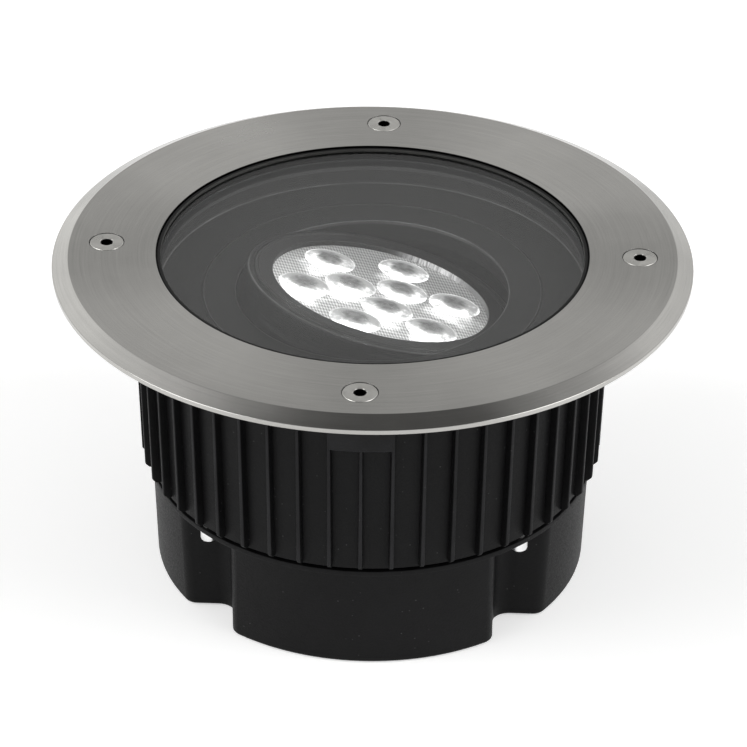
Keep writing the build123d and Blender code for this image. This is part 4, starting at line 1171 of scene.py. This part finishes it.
class WELLLIGHT_OT_cable_gland(PieceOperator, bpy.types.Operator):
    """Cable gland at the back: hexagon body, ribbed cap and rubber seal"""

    bl_idname = "well_light.cable_gland"
    bl_label = "Cable gland"

    def execute(self, context):
        sides = 96
        loops = rings(sides, (5.7, 13.0), (8.4, 13.0), (8.6, 12.8), (8.6, 5.0), (9.6, 5.0))
        loops += [hexagon_ring(flats * MM, height * MM, sides)
                  for flats, height in ((19.9, 4.6), (20.0, 4.4), (20.0, 0.3))]
        loops += rings(sides, (9.7, 0.0), (8.0, 0.0), (8.0, -11.9), (7.8, -12.1), (4.8, -12.1),
                       (4.6, -11.9), (4.6, 8.0), (5.7, 8.0))
        body = placed(lofted("gland_body_black", loops, closed=True), GLAND_FRAME)
        finished(body, "housing", "gland_plastic", "gland_body")

        cap = lathe(
            "cap", (8.75, 6.0, 0.1), (10.1, 6.0, 0.3), (10.1, 15.2, 0.4), (7.7, 19.0, 0.8),
            (4.6, 19.0, 0.4), (4.6, 18.0, 0.1), (5.7, 18.0), (5.7, 13.1), (8.75, 13.1), sides=sides)
        corners = ((-0.4, 6.3), (0.3, 6.3), (0.5, 6.6), (0.5, 14.4), (0.1, 15.2), (-0.4, 15.2))
        rib = slab("rib", corners, 0.55 * MM, rounding=0.18 * MM, steps=1)
        ribs = round_axis("ribs", rib, 24, 10.1, "gland_plastic")
        cap = placed(joined("gland_cap_black", cap, ribs), GLAND_FRAME)
        finished(cap, "housing", "gland_plastic", "gland_cap")

        seal = lathe("gland_seal_rubber", (3.8, 8.0, 0.2), (5.6, 8.0, 0.1), (5.6, 18.0, 0.3),
                     (3.8, 18.0, 0.7), sides=64)
        finished(placed(seal, GLAND_FRAME), "housing", "black_rubber", "gland_seal")
        return {"FINISHED"}


class WELLLIGHT_OT_turning_ring(PieceOperator, bpy.types.Operator):
    """Ring that turns in the pan and carries the ball head between two ears"""

    bl_idname = "well_light.turning_ring"
    bl_label = "Turning ring"

    def execute(self, context):
        pivot = 86.1            # height of the tilt axis, the zero of the heights here
        socket = 49.2           # radius of the seat that the ball turns in
        foot = 92.5 - pivot
        top = PAN_FLOOR - pivot
        lip = sqrt(socket ** 2 - top ** 2)
        corners = [
            (51.0, foot, 0.3), (51.0, 10.5), (50.2, 10.5), (50.2, 11.9), (51.0, 11.9),
            (51.0, top - 1.2, 0.1), (58.5, top - 1.2, 0.15), (58.45, top, 0.35), (lip + 0.75, top, 0.4)]
        for k in range(9):
            turn = radians(17.0 + (7.5 - 17.0) * k / 8)
            corners.append((socket * cos(turn), socket * sin(turn)))
        pieces = [lathe("turntable_painted", *corners, sides=192)]
        round_end = [(7 * cos(pi + pi * k / 24), 7 * sin(pi + pi * k / 24)) for k in range(25)]
        tongue = [(-7.0, 7.4), *round_end, (7.0, 7.4)]
        for side in (-1, 1):
            ear = slab("ear", tongue, 1.25 * MM, rounding=0.2 * MM, steps=1)
            place = Matrix.Translation((side * 50.7 * MM, 0, 0)) @ Matrix.Rotation(pi / 2, 4, "Z")
            pieces.append(placed(ear, place))
        block = ((-1.5, 8.4), (1.5, 8.4), (1.5, 10.4), (-1.5, 10.4))
        lug = slab("lug", block, 3.4 * MM, rounding=0.25 * MM)
        pieces.append(placed(lug, Matrix.Translation((0, -53.8 * MM, 0))))
        ring = placed(joined("turntable_painted", *pieces), TURNED_FRAME)
        finished(ring, "turntable", "dark_paint", "turntable", look="turned_paint")
        return {"FINISHED"}


class WELLLIGHT_OT_head_shell(PieceOperator, bpy.types.Operator):
    """Ball-shaped shell of the head, turned, with a flat rim"""

    bl_idname = "well_light.head_shell"
    bl_label = "Head shell"

    def execute(self, context):
        rim = sqrt(BALL ** 2 - RIM ** 2)
        heights = [-10.0 + (RIM - 0.45 + 10.0) * k / 27 for k in range(28)]
        corners = [(sqrt(BALL ** 2 - height ** 2), height) for height in heights]
        corners += [(rim - 0.12, 13.05), (rim - 0.5, RIM), (45.15, RIM), (45.0, 13.05), (45.0, 10.2),
                    (42.2, 10.2), (42.2, -1.1), (42.8, -1.1), (42.8, -10.0)]
        shell = placed(lathe("head_shell_painted", *corners), HEAD_FRAME)
        finished(shell, "head", "dark_paint", "head_shell", look="ball_paint")
        return {"FINISHED"}


class WELLLIGHT_OT_head_bezel(PieceOperator, bpy.types.Operator):
    """Ring over the edge of the lens plate, with a shallow groove round its face"""

    bl_idname = "well_light.head_bezel"
    bl_label = "Head bezel"

    def execute(self, context):
        ring = lathe(
            "head_bezel_painted", (BEZEL_OPENING, LENS_TOP, 0.05), (BEZEL_OPENING, 13.4, 0.35),
            (43.4, 13.4, 0.15), (43.65, 13.2, 0.1), (43.9, 13.4, 0.15), (44.8, 13.4, 0.4), (44.9, 10.2),
            (40.1, 10.2), (40.1, LENS_TOP), steps=3)
        placed(ring, HEAD_FRAME)
        finished(ring, "head", "dark_paint", "head_bezel", look="bezel_paint", crease=40)
        return {"FINISHED"}


class WELLLIGHT_OT_lens_plate(PieceOperator, bpy.types.Operator):
    """Ruled lens plate with the cones of its nine lenses below"""

    bl_idname = "well_light.lens_plate"
    bl_label = "Lens plate"

    def execute(self, context):
        plate = lathe(
            "lens_plate_ruled", (0, 9.0), (40.0, 9.0, 0.2), (40.0, LENS_TOP, 0.2), (0, LENS_TOP), sides=192)
        pieces = [placed(plate, HEAD_FRAME)]
        for count, radius, start in LENS_CIRCLES:
            cone = lathe("cone", (0, 2.7), (4.0, 2.7, 0.2), (LENS_RADIUS, 9.05), (0, 9.05), sides=40)
            cones = round_axis("cones", cone, count, radius, "clear_lens", start=start - 90.0)
            pieces.append(placed(cones, HEAD_FRAME))
        finished(joined("lens_plate_ruled", *pieces), "head", "clear_lens", "lens_plate")
        return {"FINISHED"}


def lens_cap():
    """Low dome with a soft shoulder and its own UV map, centred on the axis."""
    reach = LENS_RADIUS * MM
    foot = LENS_TOP * MM
    rows = 14
    loops = [round_ring(reach, foot - 0.3 * MM, 48)]
    for k in range(rows):
        share = k / (rows - 1)
        height = foot - 0.02 * MM + 0.9 * MM * (1.0 - (1.0 - share) ** 2.2)
        loops.append(round_ring(reach * (1.0 - share) + 0.02 * MM, height, 48))
    cap = lofted("cap", loops)
    layer = cap.data.uv_layers.new(name="lens")
    for loop in cap.data.loops:
        point = cap.data.vertices[loop.vertex_index].co
        layer.data[loop.index].uv = (0.5 + point.x / reach / 2, 0.5 + point.y / reach / 2)
    return cap


class WELLLIGHT_OT_lens_caps(PieceOperator, bpy.types.Operator):
    """Nine domed lenses over the LEDs"""

    bl_idname = "well_light.lens_caps"
    bl_label = "Lens domes"

    def execute(self, context):
        caps = [placed(lens_cap(), Matrix.Translation((*centre, 0))) for centre in lens_centres()]
        finished(placed(joined("lens_domes", *caps), HEAD_FRAME), "head", "clear_lens", look="lens_cap")
        return {"FINISHED"}


class WELLLIGHT_OT_heat_sink(PieceOperator, bpy.types.Operator):
    """Aluminium plug that closes the head, with nine cooling fins"""

    bl_idname = "well_light.heat_sink"
    bl_label = "Heat sink"

    def execute(self, context):
        plug = lathe("heat_sink_aluminium", (0, -13.0), (46.9, -13.0, 0.4), (46.9, -10.0, 0.4),
                     (42.7, -10.0, 0.1), (42.7, -1.1, 0.2), (0, -1.1), sides=128)
        blade = slab("blade", ((-1.1, -27.0), (1.1, -27.0), (1.1, -12.8), (-1.1, -12.8)), 38.0 * MM,
                     rounding=0.3 * MM, steps=1)
        metal = finish("bare_aluminium")
        fins = grown("fins", items_in_row, blade, Count=9, Pitch=7.6 * MM, Material=metal)
        cut(fins, sleeve(37.9, 60, -30, -12.0))
        sink = placed(joined("heat_sink_aluminium", plug, fins), HEAD_FRAME)
        finished(sink, "head", "bare_aluminium", "heat_sink")
        return {"FINISHED"}


class WELLLIGHT_OT_carried_over(PieceOperator, bpy.types.Operator):
    """Finishes for the pieces whose CAD shape is kept"""

    bl_idname = "well_light.carried_over"
    bl_label = "Inner pieces"

    def execute(self, context):
        for part in frame["record"]["subparts"]:
            node = bpy.data.objects.get(part["node"])
            if node is None:
                raise RuntimeError("no CAD node named " + part["node"])
            material = finish(part["material_slot"])
            if not node.material_slots:
                node.data.materials.append(material)
            for slot in node.material_slots:
                slot.material = material
        return {"FINISHED"}


# ------------------------------------------------------------------ stage

PHOTO = 747             # pixels across the photograph, which is square
FOCAL_PIXELS = 3704.66
SENSOR = 36.0
CAMERA = Vector((44.04, -1098.9, 758.1)) * MM
TARGET = Vector((0.67, 0.03, 69.34)) * MM
CAMERA_ROLL = radians(0.559)
FLOOR_LIFT = 0.36       # share of white that the floor shows over its own light and shadow
LAMP_ELEVATION = radians(44)
LAMP_DISTANCE = 2.4
LAMP_SIZE = 1.6
# stops from the horizon to the zenith, each (upward part of the direction, brightness)
SKY = ((0.0, 0.86), (0.2, 0.74), (0.42, 0.56), (0.57, 0.42), (0.75, 0.26), (0.9, 0.13), (1.0, 0.08))


def facing(spot, target):
    """Place at a spot, with -Z towards a target."""
    return Matrix.Translation(spot) @ (target - spot).to_track_quat("-Z", "Y").to_matrix().to_4x4()


class WELLLIGHT_OT_stage(PieceOperator, bpy.types.Operator):
    """Pale floor, soft studio light and the camera"""

    bl_idname = "well_light.stage"
    bl_label = "Stage"

    def execute(self, context):
        scene = context.scene
        scene.view_settings.view_transform = "Standard"
        self.floor()
        self.sky(scene)
        self.lamp("left lamp", -72.0, 20.0)
        self.lamp("right lamp", 74.0, 19.0)

        scene.camera = new_object("camera", bpy.data.cameras.new("camera"))
        scene.camera.data.sensor_width = SENSOR
        scene.camera.data.lens = SENSOR * FOCAL_PIXELS / PHOTO
        scene.camera.data.clip_end = 20.0
        scene.camera.matrix_world = facing(CAMERA, TARGET) @ Matrix.Rotation(CAMERA_ROLL, 4, "Z")
        return {"FINISHED"}

    def floor(self):
        """Wide pale floor that shows lighter than it is lit, and takes a soft shadow."""
        corner = 9.0
        mesh = bpy.data.meshes.new("floor")
        mesh.from_pydata(
            [(-corner, -corner, 0), (corner, -corner, 0), (corner, corner, 0), (-corner, corner, 0)],
            [], [(0, 1, 2, 3)])
        look = Look("floor", grey(0.93), 0.9, Specular_IOR_Level=0.0)
        haze = look.noise(look.where, 6.0, detail=2.0)
        look.set(Base_Color=look.blend(haze, grey(0.92), grey(0.94)))
        path = look.node("ShaderNodeLightPath")
        camera, glossy, through = [
            look.fill(path, output="Is %s Ray" % kind) for kind in ("Camera", "Glossy", "Transmission")]
        seen = look.math("MAXIMUM", look.math("MAXIMUM", camera, glossy), through)
        white = look.fill(look.node("ShaderNodeEmission"), Strength=seen * FLOOR_LIFT)
        look.output(look.fill(look.node("ShaderNodeAddShader"), look.fill(look.shader), white))
        mesh.materials.append(look.material)
        floor = new_object("floor", mesh)

    def sky(self, scene):
        """Studio with a dim ceiling and bright walls, brightest at both sides."""
        scene.world = bpy.data.worlds.new("studio")
        scene.world.use_nodes = True
        tree = Tree(scene.world.node_tree)
        x, _, up = tree.split(tree.fill(tree.node("ShaderNodeTexCoord"), output="Generated"))
        ramp = tree.node("ShaderNodeValToRGB")
        ramp.color_ramp.interpolation = "B_SPLINE"
        elements = ramp.color_ramp.elements
        while len(elements) < len(SKY):
            elements.new(0.5)
        for element, (position, level) in zip(elements, SKY):
            element.position = position
            element.color = (level, level, level * 0.99, 1.0)
        sideways = abs(x - 0.06).remap(0.22, 0.62, 0.0, 0.38, smooth=True)
        walls = sideways * up.remap(0.0, 0.2, 0.3, 1.0)
        light = tree.blend(1.0, tree.fill(ramp, up), tree.combine(walls, walls, walls), kind="ADD")
        tree.fill(scene.world.node_tree.nodes["Background"], Color=light, Strength=1.0)

    def lamp(self, name, azimuth, power):
        """Round soft lamp, aimed at the origin, at an angle in degrees from the camera's side."""
        around = radians(azimuth) - pi / 2
        level = cos(LAMP_ELEVATION)
        spot = Vector((level * cos(around), level * sin(around), sin(LAMP_ELEVATION))) * LAMP_DISTANCE
        data = bpy.data.lights.new(name, "AREA")
        data.shape = "DISK"
        data.size = LAMP_SIZE
        data.energy = power
        new_object(name, data).matrix_world = facing(spot, Vector())


# ------------------------------------------------------------------ panel and registration

OPERATORS = (
    WELLLIGHT_OT_carried_over,
    WELLLIGHT_OT_trim_ring,
    WELLLIGHT_OT_trim_screws,
    WELLLIGHT_OT_cover_glass,
    WELLLIGHT_OT_glass_gasket,
    WELLLIGHT_OT_seat_ring,
    WELLLIGHT_OT_baffle,
    WELLLIGHT_OT_finned_body,
    WELLLIGHT_OT_base_gasket,
    WELLLIGHT_OT_lower_housing,
    WELLLIGHT_OT_base_screws,
    WELLLIGHT_OT_cable_gland,
    WELLLIGHT_OT_turning_ring,
    WELLLIGHT_OT_head_shell,
    WELLLIGHT_OT_head_bezel,
    WELLLIGHT_OT_lens_plate,
    WELLLIGHT_OT_lens_caps,
    WELLLIGHT_OT_heat_sink,
    WELLLIGHT_OT_stage,
)


class WELLLIGHT_PT_panel(bpy.types.Panel):
    """Sizes, colours and the buttons that build each piece"""

    bl_idname = "WELLLIGHT_PT_panel"
    bl_label = "Well light"
    bl_space_type = "VIEW_3D"
    bl_region_type = "UI"
    bl_category = "Well Light"

    def draw(self, context):
        scene = context.scene
        for settings in (scene.well_light_sizes, scene.well_light_colours):
            box = self.layout.box()
            for name in settings.bl_rna.properties.keys():
                if name not in ("rna_type", "name"):
                    box.prop(settings, name)
        column = self.layout.column(align=True)
        for operator in OPERATORS:
            column.operator(operator.bl_idname)


CLASSES = (WellLightSizes, WellLightColours, *OPERATORS, WELLLIGHT_PT_panel)


def register():
    for each in CLASSES:
        bpy.utils.register_class(each)
    bpy.types.Scene.well_light_sizes = PointerProperty(type=WellLightSizes)
    bpy.types.Scene.well_light_colours = PointerProperty(type=WellLightColours)


def unregister():
    del bpy.types.Scene.well_light_colours
    del bpy.types.Scene.well_light_sizes
    for each in reversed(CLASSES):
        bpy.utils.unregister_class(each)


def main():
    """Builds every piece and the stage."""
    register()
    for operator in OPERATORS:
        group, name = operator.bl_idname.split(".")
        getattr(getattr(bpy.ops, group), name)()


if __name__ == "__main__":
    main()
